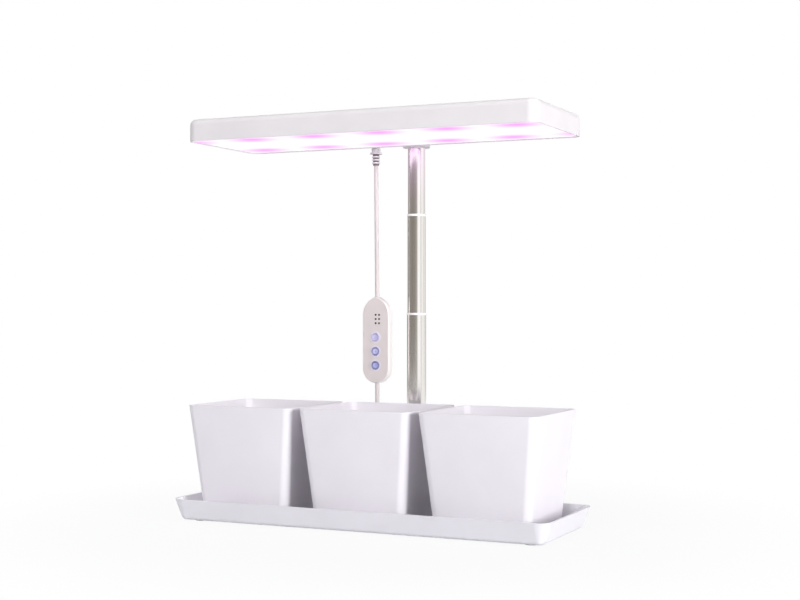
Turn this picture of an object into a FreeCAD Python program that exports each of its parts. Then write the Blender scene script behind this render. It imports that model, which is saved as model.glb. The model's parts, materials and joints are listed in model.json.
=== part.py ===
import FreeCAD, Part
import math
import os
from Sketcher import Constraint

# Countertop hydroponic garden: three tapered square pots stand in a long drip tray, and a flat
# grow lamp is carried over them by a telescopic steel mast that stands behind the tray.
# A corded controller hangs from the lamp's rear edge, and the spare cord lies coiled behind.
# Millimetres. +X runs along the tray, +Y to the back, +Z up. Z = 0 is the table top, and the
# origin is the middle of the footprint of everything but the cord and what is on it.

V = FreeCAD.Vector
doc = FreeCAD.newDocument("countertop_garden")
sheet = doc.addObject("Spreadsheet::Sheet", "sizes")
nodes = []


class Size:
    """A length with its value and with the expression that a feature is bound to."""

    def __init__(self, text, value):
        self.text = text
        self.value = float(value)

    def __float__(self):
        return self.value

    def __add__(self, other):
        other = sized(other)
        return Size(f"({self.text} + {other.text})", self.value + other.value)

    def __sub__(self, other):
        other = sized(other)
        return Size(f"({self.text} - {other.text})", self.value - other.value)

    def __mul__(self, other):
        other = sized(other)
        return Size(f"({self.text} * {other.text})", self.value * other.value)

    def __truediv__(self, other):
        other = sized(other)
        return Size(f"({self.text} / {other.text})", self.value / other.value)

    def __rsub__(self, other):
        return sized(other) - self

    def __neg__(self):
        return self * -1

    __radd__ = __add__
    __rmul__ = __mul__


def sized(value):
    """A plain number as a Size."""
    if isinstance(value, Size):
        return value
    return Size(f"({float(value):.9g})", value)


# Clearances shared by everything that fits or slides
running_gap = 0.05
seat_gap = 0.1
touch_gap = 0.3
screw_end_gap = 0.5

# Drip tray, on rubber pads
pad_height = 1.5
pad_radius = 7
pad_inset = 16
tray_length = 400
tray_width = 136
tray_height = 21.1
tray_flare = 7.5
tray_wall = 2.4
tray_floor = 2.5
tray_corner = 14
tray_bottom_round = 5
rest_rib_height = 1.5
rest_rib_width = 3
rest_rib_inset = 9.35
rest_rib_setback = 18.35

# Square tapered pots
pot_gap = 7.6
pot_end_room = 13.75
pot_side_room = 8.45
pot_taper = 11.2
pot_height = 111
pot_wall = 2.2
pot_floor = 2.5
pot_top_corner = 9
pot_bottom_corner = 7
drain_radius = 4
drain_ring = 26

# Telescopic mast: a fixed outer tube and three tubes that slide in each other
mast_behind = 24
top_tube_diameter = 18
tube_wall = 0.45
lip_height = 2.2
lip_proud = 0.3
lip_round = 0.25
first_lip = 105.9
top_tube_show = 69.6
tube_overlap = 20
bush_height = 4
bush_spigot = 3
bush_wall = 2

# Mast foot on the tray's rear tongue
tongue_width = 54
tongue_height = 10.5
tongue_corner = 12
flange_width = 50
flange_depth = 28
flange_thickness = 5
flange_corner = 11
flange_round = 1.2
foot_floor = 2
collar_radius = 13
collar_height = 34
collar_round = 1.5
foot_screw_x = 18.5
foot_screw_y = 7.5
small_screw_radius = 1.45
small_head_radius = 2.8
small_head_height = 2
head_recess = 2.8
mast_screw_radius = 2.4
mast_head_radius = 4.2
mast_head_height = 2.4
base_plug_height = 5.5
base_plug_cap = 0.8
grub_radius = 1.6
foot_grub_rise = 20.4

# Lamp head
lamp_end_inset = 13.5
lamp_side_inset = 1.4
lamp_height = 22.4
lamp_underside = 382.3
lamp_forward = 7.5
lamp_corner = 10
lamp_top_round = 6
lamp_wall = 2.8
lamp_ceiling = 2.5
lamp_rim = 1.4
diffuser_recess = 1
diffuser_thickness = 2
diffuser_skirt = 3.5
diffuser_skirt_wall = 1.2
diffuser_skirt_root = 0.5
boss_radius = 14.2
boss_height = 20
boss_round = 2
boss_socket = 17
neck_width = 19
neck_height = 17
standoff_radius = 3
standoff_height = 3
board_end_gap = 13.5
board_width = 14
board_thickness = 1.6
board_corner = 1.5
board_side_gap = 22.6
board_screw_inset = 32
board_screw_radius = 1.2
board_head_radius = 2.4
board_head_height = 1.6
led_end_gap = 14.375
led_side = 5
led_height = 1.4
lead_diameter = 1.2
lead_spacing = 2

# Cord gland: an elbow out of the lamp's rear wall, with a ribbed boot that points down
cord_x = -41.5
gland_x = -42.3
cord_behind = 7.9
gland_rise = 11
gland_neck_radius = 3.5
gland_radius = 4.7
gland_flange_radius = 6.3
gland_flange_thickness = 1.8
gland_drop = 8.9
boot_radius = 3.1
boot_length = 11.9
rib_radius = 4.1
rib_height = 1.5
rib_pitch = 3.2
first_rib = 3.65

# Controller on the cord
controller_x = -40.7
controller_top = 226
controller_length = 90.6
controller_width = 30.7
front_depth = 5
back_depth = 4.2
cord_depth = 4.5
case_tip_radius = 6
case_shoulder_radius = 19.6
case_shoulder_drop = 19.05
case_wall = 1.5
case_round = 1.4
face_inset = 1.1
face_thickness = 0.8
face_proud = 0.2
circuit_margin = 0.6
circuit_thickness = 1.2
circuit_behind = 0.9
button_radius = 4.6
button_gap = 0.15
button_pitch = 14.75
button_middle = -11.85
button_proud = 0.9
button_dome = 0.5
button_flange = 0.9
button_flange_height = 0.7
button_travel = 0.5
button_stem = 1.5
switch_side = 4.5
switch_height = 1.6
lens_radius = 1.05
lens_pitch_x = 3.9
lens_pitch_z = 4.4
lens_middle_x = 2.1
lens_middle_z = 22.1
grip_radius = 2.75
grip_length = 4
case_screw_top_inset = 14.3
case_screw_low_inset = 7.6
case_screw_radius = 1
case_head_radius = 1.9
case_head_height = 1.2
case_head_sink = 0.2
case_post_radius = 2.4

# Cord: its hanging lengths, its bend onto the table and the coil of what is left over
cord_diameter = 4.5
upper_split = 290
lower_split = 90.5
bend_start = 26
coil_x = -92
coil_behind = 34
coil_radius = 23
turn_gap = 0.5
tie_width = 8
tie_thickness = 0.6
tie_corner = 3

# Plug at the cord's end
plug_length = 26
plug_width = 14
plug_height = 8
plug_round = 2
plug_neck_length = 8
plug_neck_radius = 3
plug_neck_root = 1
shell_length = 18.5
shell_width = 12
shell_height = 4.5
shell_wall = 0.4
shell_seat = 6
contact_plate = 1.8
contact_setback = 0.5
plug_x = -24
plug_y = 111

# Every dimension so far goes into the sheet. From here on its name stands for a Size, which
# holds the number and the cell that it comes from.
dimensions = {name: value for name, value in globals().items() if type(value) in (int, float)}
for row, (alias, value) in enumerate(dimensions.items(), start=1):
    sheet.set(f"A{row}", alias)
    sheet.set(f"B{row}", str(value))
    sheet.setAlias(f"B{row}", alias)
    globals()[alias] = Size(f"sizes.{alias}", value)

# Counts
pot_count = 3
led_per_board = 10
rib_count = 3
lens_rows = 3
lens_columns = 2
coil_layers = 4
coil_layer_turns = 1.875

# Chosen points of the cord where it comes down to the table and where it reaches its plug
bend_drop = 16.5
bend_low = 7.5
coil_run_in = 13
coil_run_out = 12
tail_height = 9.6
plug_run_in = 17

# Sizes that follow from the driving dimensions
pot_top = (tray_length - 2 * pot_end_room - (pot_count - 1) * pot_gap) / pot_count
pot_top_depth = tray_width - 2 * pot_side_room
pot_bottom = pot_top - 2 * pot_taper
pot_bottom_depth = pot_top_depth - 2 * pot_taper
pot_pitch = pot_top + pot_gap
rest_rib_length = pot_bottom - 2 * rest_rib_inset
rest_rib_spacing = pot_bottom_depth - 2 * rest_rib_setback
mast_offset = tray_width / 2 + mast_behind
lip_spacing = (lamp_underside - first_lip - top_tube_show) / 2
bush_bore = top_tube_diameter / 2 - bush_wall
lamp_length = tray_length - 2 * lamp_end_inset
lamp_width = tray_width - 2 * lamp_side_inset
board_length = lamp_length - 2 * board_end_gap
board_spacing = lamp_width - 2 * board_side_gap
board_screw_span = board_length / 2 - board_screw_inset
led_pitch = (board_length - 2 * led_end_gap) / (led_per_board - 1)
link_x = led_pitch * 2
case_screw_rise = controller_length / 2 - case_screw_top_inset
case_screw_drop = controller_length / 2 - case_screw_low_inset

# Places worked out from them
cord_radius = cord_diameter / 2
tray_y = (tray_width / 2 - mast_offset - boss_radius) / 2
mast_y = tray_y + mast_offset
tray_base = pad_height
tray_rim = tray_base + tray_height
tray_deck = tray_base + tray_floor
pot_base = tray_deck + rest_rib_height
tongue_top = tray_base + tongue_height
foot_base = tongue_top
socket_floor = foot_base + foot_floor
lamp_y = tray_y + lamp_forward
lamp_rear = lamp_y + lamp_width / 2
lamp_top = lamp_underside + lamp_height
ceiling = lamp_top - lamp_ceiling
ledge = lamp_underside + diffuser_recess + diffuser_thickness
board_top = ceiling - standoff_height
board_bottom = board_top - board_thickness
cord_y = lamp_rear + cord_behind
gland_z = lamp_underside + gland_rise
boot_top = gland_z - cord_behind - gland_drop
boot_end = boot_top - boot_length
controller_z = controller_top - controller_length / 2
case_front = cord_y - cord_depth
seam_y = case_front + front_depth
case_back = seam_y + back_depth
face_seat = case_front - face_proud + face_thickness
circuit_front = seam_y + circuit_behind
lead_radius = lead_diameter / 2
coil_y = tray_y + tray_width / 2 + coil_behind
coil_pitch = cord_diameter + turn_gap
coil_floor = tie_thickness + running_gap * 2


def bind(obj, **sizes):
    """Binds properties to sizes; a double underscore in a name stands for a dot."""
    for name, size in sizes.items():
        obj.setExpression(name.replace("__", "."), sized(size).text)


def place(obj, x=0, y=0, z=0):
    """Binds where an object stands."""
    bind(obj, Placement__Base__x=x, Placement__Base__y=y, Placement__Base__z=z)
    return obj


def turned(obj, axis, angle):
    """Turns an object about its own origin, by an angle in degrees."""
    obj.Placement.Rotation = FreeCAD.Rotation(axis, angle)
    return obj


def cylinder(radius, height, x=0, y=0, z=0, along="z"):
    """A cylinder that starts at x, y, z and runs along one axis."""
    part = doc.addObject("Part::Cylinder", "cylinder")
    bind(part, Radius=radius, Height=height)
    if along == "y":
        turned(part, V(1, 0, 0), -90)
    if along == "x":
        turned(part, V(0, 1, 0), 90)
    return place(part, x, y, z)


def box(length, width, height, x=0, y=0, z=0):
    """A box centred on x and y that stands on z."""
    part = doc.addObject("Part::Box", "box")
    bind(part, Length=length, Width=width, Height=height)
    return place(part, sized(x) - sized(length) / 2, sized(y) - sized(width) / 2, z)


def named(obj, label):
    """Makes an object a sub-part: it gets its name and is written to a file of that name."""
    obj.Label = label
    nodes.append(obj)
    return obj


def cut(base, *tools):
    result = base
    for tool in tools:
        step = doc.addObject("Part::Cut", "cut")
        step.Base = result
        step.Tool = tool
        result = step
    return result


def fuse(*parts):
    result = doc.addObject("Part::MultiFuse", "fuse")
    result.Shapes = list(parts)
    result.Refine = True
    return result


def group(*parts):
    """Separate solids kept together, such as a set of screws."""
    result = doc.addObject("Part::Compound", "group")
    result.Links = list(parts)
    return result


def new_body(name):
    return doc.addObject("PartDesign::Body", name)


def new_sketch(body, role="XY_Plane", height=0):
    """A sketch on one of the body's own planes, lifted off it by height."""
    sketch = body.newObject("Sketcher::SketchObject", body.Name + "_sketch")
    plane = next(f for f in body.Origin.OriginFeatures if f.Role == role)
    sketch.AttachmentSupport = [(plane, "")]
    sketch.MapMode = "FlatFace"
    bind(sketch, AttachmentOffset__Base__z=height)
    return sketch


def constrain(sketch, name, constraint, size):
    index = sketch.addConstraint(constraint)
    sketch.renameConstraint(index, name)
    sketch.setExpression(f"Constraints.{name}", sized(size).text)


def draw_rounded_rectangle(sketch, width, depth, radius, tag=""):
    """A rectangle with round corners, centred on the sketch's origin."""
    half_w, half_d, r = float(width) / 2, float(depth) / 2, float(radius)
    in_w, in_d = half_w - r, half_d - r
    ends = [
        (V(-in_w, -half_d, 0), V(in_w, -half_d, 0)),
        (V(half_w, -in_d, 0), V(half_w, in_d, 0)),
        (V(in_w, half_d, 0), V(-in_w, half_d, 0)),
        (V(-half_w, in_d, 0), V(-half_w, -in_d, 0)),
    ]
    centres = [V(in_w, -in_d, 0), V(in_w, in_d, 0), V(-in_w, in_d, 0), V(-in_w, -in_d, 0)]
    lines = [sketch.addGeometry(Part.LineSegment(*pair), False) for pair in ends]
    arcs = []
    for quarter, centre in enumerate(centres):
        start = (quarter - 1) * math.pi / 2
        circle = Part.Circle(centre, V(0, 0, 1), r)
        arcs.append(sketch.addGeometry(Part.ArcOfCircle(circle, start, start + math.pi / 2), False))
    for i in range(4):
        sketch.addConstraint(Constraint("Tangent", lines[i], 2, arcs[i], 1))
        sketch.addConstraint(Constraint("Tangent", arcs[i], 2, lines[(i + 1) % 4], 1))
        sketch.addConstraint(Constraint("Vertical" if i % 2 else "Horizontal", lines[i]))
    for i in range(3):
        sketch.addConstraint(Constraint("Equal", arcs[i], arcs[i + 1]))
    sketch.addConstraint(Constraint("Symmetric", arcs[3], 3, arcs[1], 3, -1, 1))
    across = Constraint("DistanceX", lines[3], 1, lines[1], 1, 2 * half_w)
    constrain(sketch, "width" + tag, across, width)
    along = Constraint("DistanceY", lines[0], 1, lines[2], 1, 2 * half_d)
    constrain(sketch, "depth" + tag, along, depth)
    constrain(sketch, "corner" + tag, Constraint("Radius", arcs[0], r), radius)


def draw_stadium(sketch, width, length):
    """An upright shape with two straight sides and half-round ends, centred on the origin."""
    r, half = float(width) / 2, (float(length) - float(width)) / 2
    left = sketch.addGeometry(Part.LineSegment(V(-r, half, 0), V(-r, -half, 0)), False)
    right = sketch.addGeometry(Part.LineSegment(V(r, -half, 0), V(r, half, 0)), False)
    low = sketch.addGeometry(
        Part.ArcOfCircle(Part.Circle(V(0, -half, 0), V(0, 0, 1), r), math.pi, 2 * math.pi), False
    )
    high = sketch.addGeometry(
        Part.ArcOfCircle(Part.Circle(V(0, half, 0), V(0, 0, 1), r), 0, math.pi), False
    )
    for first, second in ((left, low), (low, right), (right, high), (high, left)):
        sketch.addConstraint(Constraint("Tangent", first, 2, second, 1))
    sketch.addConstraint(Constraint("Vertical", left))
    sketch.addConstraint(Constraint("Symmetric", low, 3, high, 3, -1, 1))
    constrain(sketch, "radius", Constraint("Radius", low, r), sized(width) / 2)
    constrain(
        sketch, "middles", Constraint("DistanceY", low, 3, high, 3, 2 * half), sized(length) - width
    )


def draw_case_outline(sketch, inset):
    """The controller's outline: round below, and a pointed arch with a blunt tip above."""
    r = float(controller_width) / 2 - float(inset)
    low = -float(controller_length - controller_width) / 2
    tip_r, side_r = float(case_tip_radius - inset), float(case_shoulder_radius - inset)
    tip_z = float(controller_length / 2 - case_tip_radius)
    side_z = float(controller_length / 2 - case_shoulder_drop)
    side_x = float(controller_width / 2 - case_shoulder_radius)
    across, fall = side_x, tip_z - side_z
    lean = math.acos((tip_r - side_r) / math.hypot(across, fall)) - math.atan2(fall, across)
    out = V(math.cos(lean), math.sin(lean), 0)
    tip, side = V(0, tip_z, 0), V(side_x, side_z, 0)

    def mirrored(point):
        return V(-point.x, point.y, point.z)

    def arc(centre, radius, start, end):
        circle = Part.Circle(centre, V(0, 0, 1), radius)
        return sketch.addGeometry(Part.ArcOfCircle(circle, start, end), False)

    def line(start, end):
        return sketch.addGeometry(Part.LineSegment(start, end), False)

    chain = [
        arc(V(0, low, 0), r, math.pi, 2 * math.pi),
        line(V(r, low, 0), V(r, side_z, 0)),
        arc(side, side_r, 0, lean),
        line(side + out * side_r, tip + out * tip_r),
        arc(tip, tip_r, lean, math.pi - lean),
        line(mirrored(tip + out * tip_r), mirrored(side + out * side_r)),
        arc(mirrored(side), side_r, math.pi - lean, math.pi),
        line(V(-r, side_z, 0), V(-r, low, 0)),
    ]
    bottom, right, right_side, _, top, _, left_side, left = chain
    for i, first in enumerate(chain):
        sketch.addConstraint(Constraint("Tangent", first, 2, chain[(i + 1) % len(chain)], 1))
    sketch.addConstraint(Constraint("Vertical", right))
    sketch.addConstraint(Constraint("Vertical", left))
    sketch.addConstraint(Constraint("PointOnObject", bottom, 3, -2))
    sketch.addConstraint(Constraint("PointOnObject", top, 3, -2))
    sketch.addConstraint(Constraint("Equal", right_side, left_side))
    sketch.addConstraint(Constraint("Horizontal", right_side, 3, left_side, 3))
    constrain(sketch, "bottom", Constraint("Radius", bottom, r), controller_width / 2 - inset)
    shoulder = Constraint("Radius", right_side, side_r)
    constrain(sketch, "shoulder", shoulder, case_shoulder_radius - inset)
    constrain(sketch, "tip", Constraint("Radius", top, tip_r), case_tip_radius - inset)
    constrain(
        sketch, "bottom_drop", Constraint("DistanceY", bottom, 3, -1, 1, -low),
        (controller_length - controller_width) / 2,
    )
    constrain(
        sketch, "tip_rise", Constraint("DistanceY", -1, 1, top, 3, tip_z),
        controller_length / 2 - case_tip_radius,
    )
    constrain(
        sketch, "shoulder_rise", Constraint("DistanceY", -1, 1, right_side, 3, side_z),
        controller_length / 2 - case_shoulder_drop,
    )


def pad(body, sketch, length, reversed_=False):
    feature = body.newObject("PartDesign::Pad", body.Name + "_pad")
    feature.Profile = sketch
    feature.Reversed = reversed_
    bind(feature, Length=length)
    doc.recompute()
    return feature


def pocket(body, sketch, length, reversed_=False):
    """Cuts a sketch into the body and stops if nothing was cut away."""
    before = body.Shape.Volume
    feature = body.newObject("PartDesign::Pocket", body.Name + "_pocket")
    feature.Profile = sketch
    feature.Reversed = reversed_
    bind(feature, Length=length)
    doc.recompute()
    if body.Shape.Volume > before - 1e-6:
        raise RuntimeError(f"{body.Name}: a pocket cut nothing")
    return feature


def round_edges(body, feature, radius, wanted):
    """Fillets the edges of a feature that wanted(edge) picks."""
    names = [f"Edge{i + 1}" for i, edge in enumerate(feature.Shape.Edges) if wanted(edge)]
    fillet = body.newObject("PartDesign::Fillet", body.Name + "_round")
    fillet.Base = (feature, names)
    bind(fillet, Radius=radius)
    doc.recompute()
    return fillet


def at_height(height, axis="z"):
    """Picks the edges that lie wholly at one height along an axis."""
    def wanted(edge):
        points = [vertex.Point for vertex in edge.Vertexes] + [edge.CenterOfMass]
        return all(abs(getattr(point, axis) - float(height)) < 1e-4 for point in points)

    return wanted


def plate(name, width, depth, corner, thickness, x=0, y=0, z=0, round_top=None, round_bottom=None):
    """A flat plate with round corners that stands on z."""
    body = new_body(name)
    sketch = new_sketch(body)
    draw_rounded_rectangle(sketch, width, depth, corner)
    feature = pad(body, sketch, thickness)
    if round_top is not None:
        feature = round_edges(body, feature, round_top, at_height(thickness))
    if round_bottom is not None:
        round_edges(body, feature, round_bottom, at_height(0))
    return place(body, x, y, z)


def flared_block(name, low, high, height, y=0, z=0):
    """A block that widens upwards; low and high are (width, depth, corner radius)."""
    body = new_body(name)
    sketches = []
    for level, outline in ((0, low), (height, high)):
        sketch = new_sketch(body, height=level)
        draw_rounded_rectangle(sketch, *outline)
        sketches.append(sketch)
    loft = body.newObject("PartDesign::AdditiveLoft", name + "_loft")
    loft.Profile = sketches[0]
    loft.Sections = [sketches[1]]
    loft.Ruled = True
    doc.recompute()
    return place(body, 0, y, z)


def drafted_block(name, width, depth, corner, height, flare, round_bottom, y=0, rim=0):
    """A block that hangs down from its rim at Z = rim and draws in by flare at each side."""
    body = new_body(name)
    sketch = new_sketch(body)
    draw_rounded_rectangle(sketch, width, depth, corner)
    block = pad(body, sketch, height, reversed_=True)
    draft = body.newObject("PartDesign::Draft", name + "_draft")
    sides = [
        f"Face{i + 1}"
        for i, face in enumerate(block.Shape.Faces)
        if abs(face.normalAt(0, 0).z) < 0.5
    ]
    draft.Base = (block, sides)
    draft.NeutralPlane = (next(f for f in body.Origin.OriginFeatures if f.Role == "XY_Plane"), [""])
    draft.setExpression("Angle", f"atan({sized(flare).text} / {sized(height).text})")
    doc.recompute()
    if body.Shape.Volume > block.Shape.Volume:
        draft.Reversed = True
        doc.recompute()
    round_edges(body, draft, round_bottom, at_height(-float(height)))
    return place(body, 0, y, rim)


def case_plate(name, inset, thickness, front, round_front=None, round_back=None):
    """An upright plate of the controller's outline, drawn in by inset, from Y = front back."""
    body = new_body(name)
    sketch = new_sketch(body, role="XZ_Plane")
    draw_case_outline(sketch, inset)
    feature = pad(body, sketch, thickness)
    if round_front is not None:
        feature = round_edges(body, feature, round_front, at_height(-float(thickness), "y"))
    if round_back is not None:
        round_edges(body, feature, round_back, at_height(0, "y"))
    return place(body, controller_x, sized(front) + thickness, controller_z)


# Cords, leads and anything else that is one round section along a line


def route_edges(points):
    """Straight runs joined by tangent arcs, with the radius of each arc."""
    points = [V(*point) for point in points]
    edges, radii = [], []
    start = points[0]
    for before, corner, after in zip(points, points[1:], points[2:]):
        back, ahead = before - corner, after - corner
        shorter = min(back.Length, ahead.Length)
        back.normalize()
        ahead.normalize()
        turn = math.pi - back.getAngle(ahead)
        setback = 0.45 * shorter
        radius = setback / math.tan(turn / 2)
        inward = back + ahead
        inward.normalize()
        centre = corner + inward * (radius / math.cos(turn / 2))
        first, last = corner + back * setback, corner + ahead * setback
        middle = centre - inward * radius
        edges.append(Part.LineSegment(start, first).toShape())
        edges.append(Part.Arc(first, middle, last).toShape())
        radii.append(radius)
        start = last
    edges.append(Part.LineSegment(start, points[-1]).toShape())
    return edges, radii


def biarc(start, start_way, end, end_way):
    """Two arcs that leave start along start_way, meet smoothly and reach end along end_way."""
    span = end - start
    ways = start_way + end_way
    a = 2 * (1 - start_way.dot(end_way))
    b = 2 * span.dot(ways)
    c = -span.dot(span)
    if abs(a) < 1e-9:
        reach = -c / b
    else:
        reach = (-b + math.sqrt(b * b - 4 * a * c)) / (2 * a)
    joint = (start + end + (start_way - end_way) * reach) * 0.5
    return [arc_leaving(start, start_way, joint), arc_leaving(end, end_way * -1, joint, True)]


def arc_leaving(start, way, end, backwards=False):
    """The arc from start, along way, to end."""
    chord = end - start
    across = chord - way * chord.dot(way)
    if across.Length < 1e-9:
        ends = (end, start) if backwards else (start, end)
        return Part.LineSegment(*ends).toShape()
    across.normalize()
    radius = chord.dot(chord) / (2 * chord.dot(across))
    centre = start + across * radius
    towards = (start + end) * 0.5 - centre
    if chord.dot(way) < 0:
        towards = towards * -1
    if towards.Length < 1e-9:
        towards = V(way)
    towards.normalize()
    middle = centre + towards * radius
    ends = (end, middle, start) if backwards else (start, middle, end)
    return Part.Arc(*ends).toShape()


def swept(edges, diameter, start, way):
    """A round tube along joined edges, with its volume checked against its length."""
    wire = Part.Wire(edges)
    section = Part.Wire([Part.Circle(start, way, diameter / 2).toShape()])
    solid = wire.makePipeShell([section], True, False)
    if solid.Volume < 0:
        solid.reverse()
    expected = math.pi * diameter**2 / 4 * wire.Length
    return solid, wire.Length, solid.Volume / expected


def report_tube(label, solid, length, share, radii=()):
    tight = f", least bend radius {min(radii):.1f}" if radii else ""
    print(f"{label}: length {length:.1f}{tight}, volume {share:.4f} of section times length")
    if abs(share - 1) > 0.01 or not solid.isValid():
        raise RuntimeError(f"{label}: the tube came out wrong")


def routed(points, diameter, label):
    """A tube along a route of straight runs and tangent arcs."""
    points = [[float(number) for number in point] for point in points]
    edges, radii = route_edges(points)
    way = V(*points[1]) - V(*points[0])
    way.normalize()
    solid, length, share = swept(edges, float(diameter), V(*points[0]), way)
    report_tube(label, solid, length, share, radii)
    return solid


def feature_of(label, shape):
    """A document object for a shape made straight from curves."""
    part = doc.addObject("Part::Feature", label)
    part.Shape = shape
    part.Placement = FreeCAD.Placement()
    return named(part, label)


# Each function below makes one sub-part, or one set of like sub-parts


def make_tray():
    """The moulded tray: flared walls, ribs for the pots to stand on and a tongue for the mast."""
    outside = drafted_block(
        "tray_outside", tray_length, tray_width, tray_corner, tray_height, tray_flare,
        tray_bottom_round, tray_y, tray_rim,
    )
    tongue_depth = mast_offset + boss_radius
    tongue = plate(
        "tray_tongue", tongue_width, tongue_depth, tongue_corner, tongue_height,
        0, tray_y + tongue_depth / 2, tray_base,
    )
    inner_depth = tray_height - tray_floor
    inside = drafted_block(
        "tray_inside", tray_length - 2 * tray_wall, tray_width - 2 * tray_wall,
        tray_corner - tray_wall, inner_depth, tray_flare * inner_depth / tray_height,
        tray_bottom_round - tray_wall, tray_y, tray_rim,
    )
    shell = cut(fuse(outside, tongue), inside)
    ribs = [
        box(rest_rib_length, rest_rib_width, rest_rib_height, x, tray_y + y, tray_deck)
        for x in pot_places()
        for y in (rest_rib_spacing / 2, -rest_rib_spacing / 2)
    ]
    holes = [
        cylinder(small_screw_radius + seat_gap, tongue_height, x, y, tray_base)
        for x, y in foot_screw_places()
    ]
    recesses = [
        cylinder(small_head_radius + touch_gap, head_recess, x, y, tray_base)
        for x, y in foot_screw_places()
    ]
    holes.append(cylinder(mast_screw_radius + seat_gap, tongue_height, 0, mast_y, tray_base))
    recesses.append(
        cylinder(mast_head_radius + touch_gap, mast_head_height + touch_gap, 0, mast_y, tray_base)
    )
    return named(cut(fuse(shell, *ribs), group(*holes), group(*recesses)), "tray")


def pot_places():
    """Where the pots' middles are along the tray."""
    return [pot_pitch * (i - (pot_count - 1) / 2) for i in range(pot_count)]


def foot_screw_places():
    return [
        (foot_screw_x * side, mast_y + foot_screw_y * end) for side in (-1, 1) for end in (-1, 1)
    ]


def make_feet_pads():
    """Five rubber pads: one near each corner of the tray and one under the tongue."""
    reach_x = tray_length / 2 - tray_flare - pad_inset
    reach_y = tray_width / 2 - tray_flare - pad_inset
    places = [(reach_x * i, tray_y + reach_y * j) for i in (-1, 1) for j in (-1, 1)]
    places.append((sized(0), mast_y - foot_screw_y * 2 - pad_radius))
    return named(group(*[cylinder(pad_radius, pad_height, x, y) for x, y in places]), "feet_pads")


def make_mast_foot():
    """The flanged collar that holds the mast upright on the tray's tongue."""
    flange = plate(
        "foot_flange", flange_width, flange_depth, flange_corner, flange_thickness,
        0, mast_y, foot_base, round_top=flange_round,
    )
    collar = new_body("foot_collar")
    sketch = new_sketch(collar)
    draw_circle(sketch, collar_radius)
    top = round_edges(
        collar, pad(collar, sketch, collar_height), collar_round, at_height(collar_height)
    )
    place(collar, 0, mast_y, foot_base)
    socket = cylinder(
        outer_tube_radius() + seat_gap, collar_height, 0, mast_y, socket_floor
    )
    pilots = [
        cylinder(small_screw_radius + seat_gap, flange_thickness, x, y, foot_base)
        for x, y in foot_screw_places()
    ]
    screw_hole = cylinder(mast_screw_radius + seat_gap, foot_floor, 0, mast_y, foot_base)
    grub_hole = cylinder(
        grub_radius + seat_gap, collar_radius, 0, mast_y, foot_grub_z(), along="y"
    )
    holes = group(*pilots, screw_hole, grub_hole)
    return named(cut(fuse(flange, collar), socket, holes), "mast_foot")


def draw_circle(sketch, radius):
    circle = sketch.addGeometry(Part.Circle(V(0, 0, 0), V(0, 0, 1), float(radius)), False)
    sketch.addConstraint(Constraint("Coincident", circle, 3, -1, 1))
    constrain(sketch, "radius", Constraint("Radius", circle, float(radius)), radius)


def foot_grub_z():
    return foot_base + foot_grub_rise


def tube_radius(step):
    """Outer radius of a mast tube; step 0 is the top one and 3 the fixed outer one."""
    return top_tube_diameter / 2 + (tube_wall + running_gap) * step


def outer_tube_radius():
    return tube_radius(3)


def tube_lip(step):
    """Height of a tube's top end; step 1 is the tube that the top one slides in."""
    return first_lip + lip_spacing * (3 - step)


def tube_bottom(step):
    """Height of a tube's lower end at rest."""
    if step == 3:
        return socket_floor
    return tube_lip(step + 1) - tube_overlap


def make_foot_screws():
    """Four self-tapping screws, driven up through the tongue into the foot's flange."""
    seat = tray_base + head_recess
    reach = tongue_height - head_recess + flange_thickness - screw_end_gap
    screws = [screw(small_screw_radius, reach, small_head_radius, small_head_height, x, y, seat)
              for x, y in foot_screw_places()]
    return named(group(*screws), "foot_screws")


def screw(radius, reach, head_radius, head_height, x, y, seat):
    """A pan-head screw whose head hangs below seat and whose shank reaches up."""
    return fuse(
        cylinder(head_radius, head_height, x, y, sized(seat) - head_height),
        cylinder(radius, reach, x, y, seat),
    )


def make_mast_screw():
    """The screw that draws the mast's base plug down onto the foot."""
    seat = tray_base + mast_head_height + touch_gap
    reach = socket_floor - seat + base_plug_height - base_plug_cap - screw_end_gap
    whole = screw(mast_screw_radius, reach, mast_head_radius, mast_head_height, 0, mast_y, seat)
    return named(whole, "mast_screw")


def make_base_plug():
    """A plug in the fixed tube's lower end, threaded for the mast screw."""
    radius = outer_tube_radius() - tube_wall - seat_gap / 2
    block = cylinder(radius, base_plug_height, 0, mast_y, socket_floor)
    hole = cylinder(
        mast_screw_radius + seat_gap, base_plug_height - base_plug_cap, 0, mast_y, socket_floor
    )
    return named(cut(block, hole), "base_plug")


def make_foot_grub():
    """The grub screw that locks the fixed tube in the foot's collar."""
    start = outer_tube_radius() + running_gap
    reach = collar_radius - start - touch_gap
    return named(
        cylinder(grub_radius, reach, 0, mast_y + start, foot_grub_z(), along="y"), "foot_grub_screw"
    )


def make_tube(step, label):
    """A thin steel tube of the mast, with a rolled lip at its top unless it is the top one."""
    radius = tube_radius(step)
    low = tube_bottom(step)
    high = boss_bottom() + boss_socket if step == 0 else tube_lip(step)
    solid = cylinder(radius, high - low, 0, mast_y, low)
    if step > 0:
        lip = new_body(f"{label}_lip")
        sketch = new_sketch(lip)
        draw_circle(sketch, radius + lip_proud)
        bead = pad(lip, sketch, lip_height)
        bead = round_edges(lip, bead, lip_round, at_height(lip_height))
        round_edges(lip, bead, lip_round, at_height(0))
        place(lip, 0, mast_y, high - lip_height)
        solid = fuse(solid, lip)
    bore = cylinder(radius - tube_wall, high - low, 0, mast_y, low)
    return named(cut(solid, bore), label)


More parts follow.
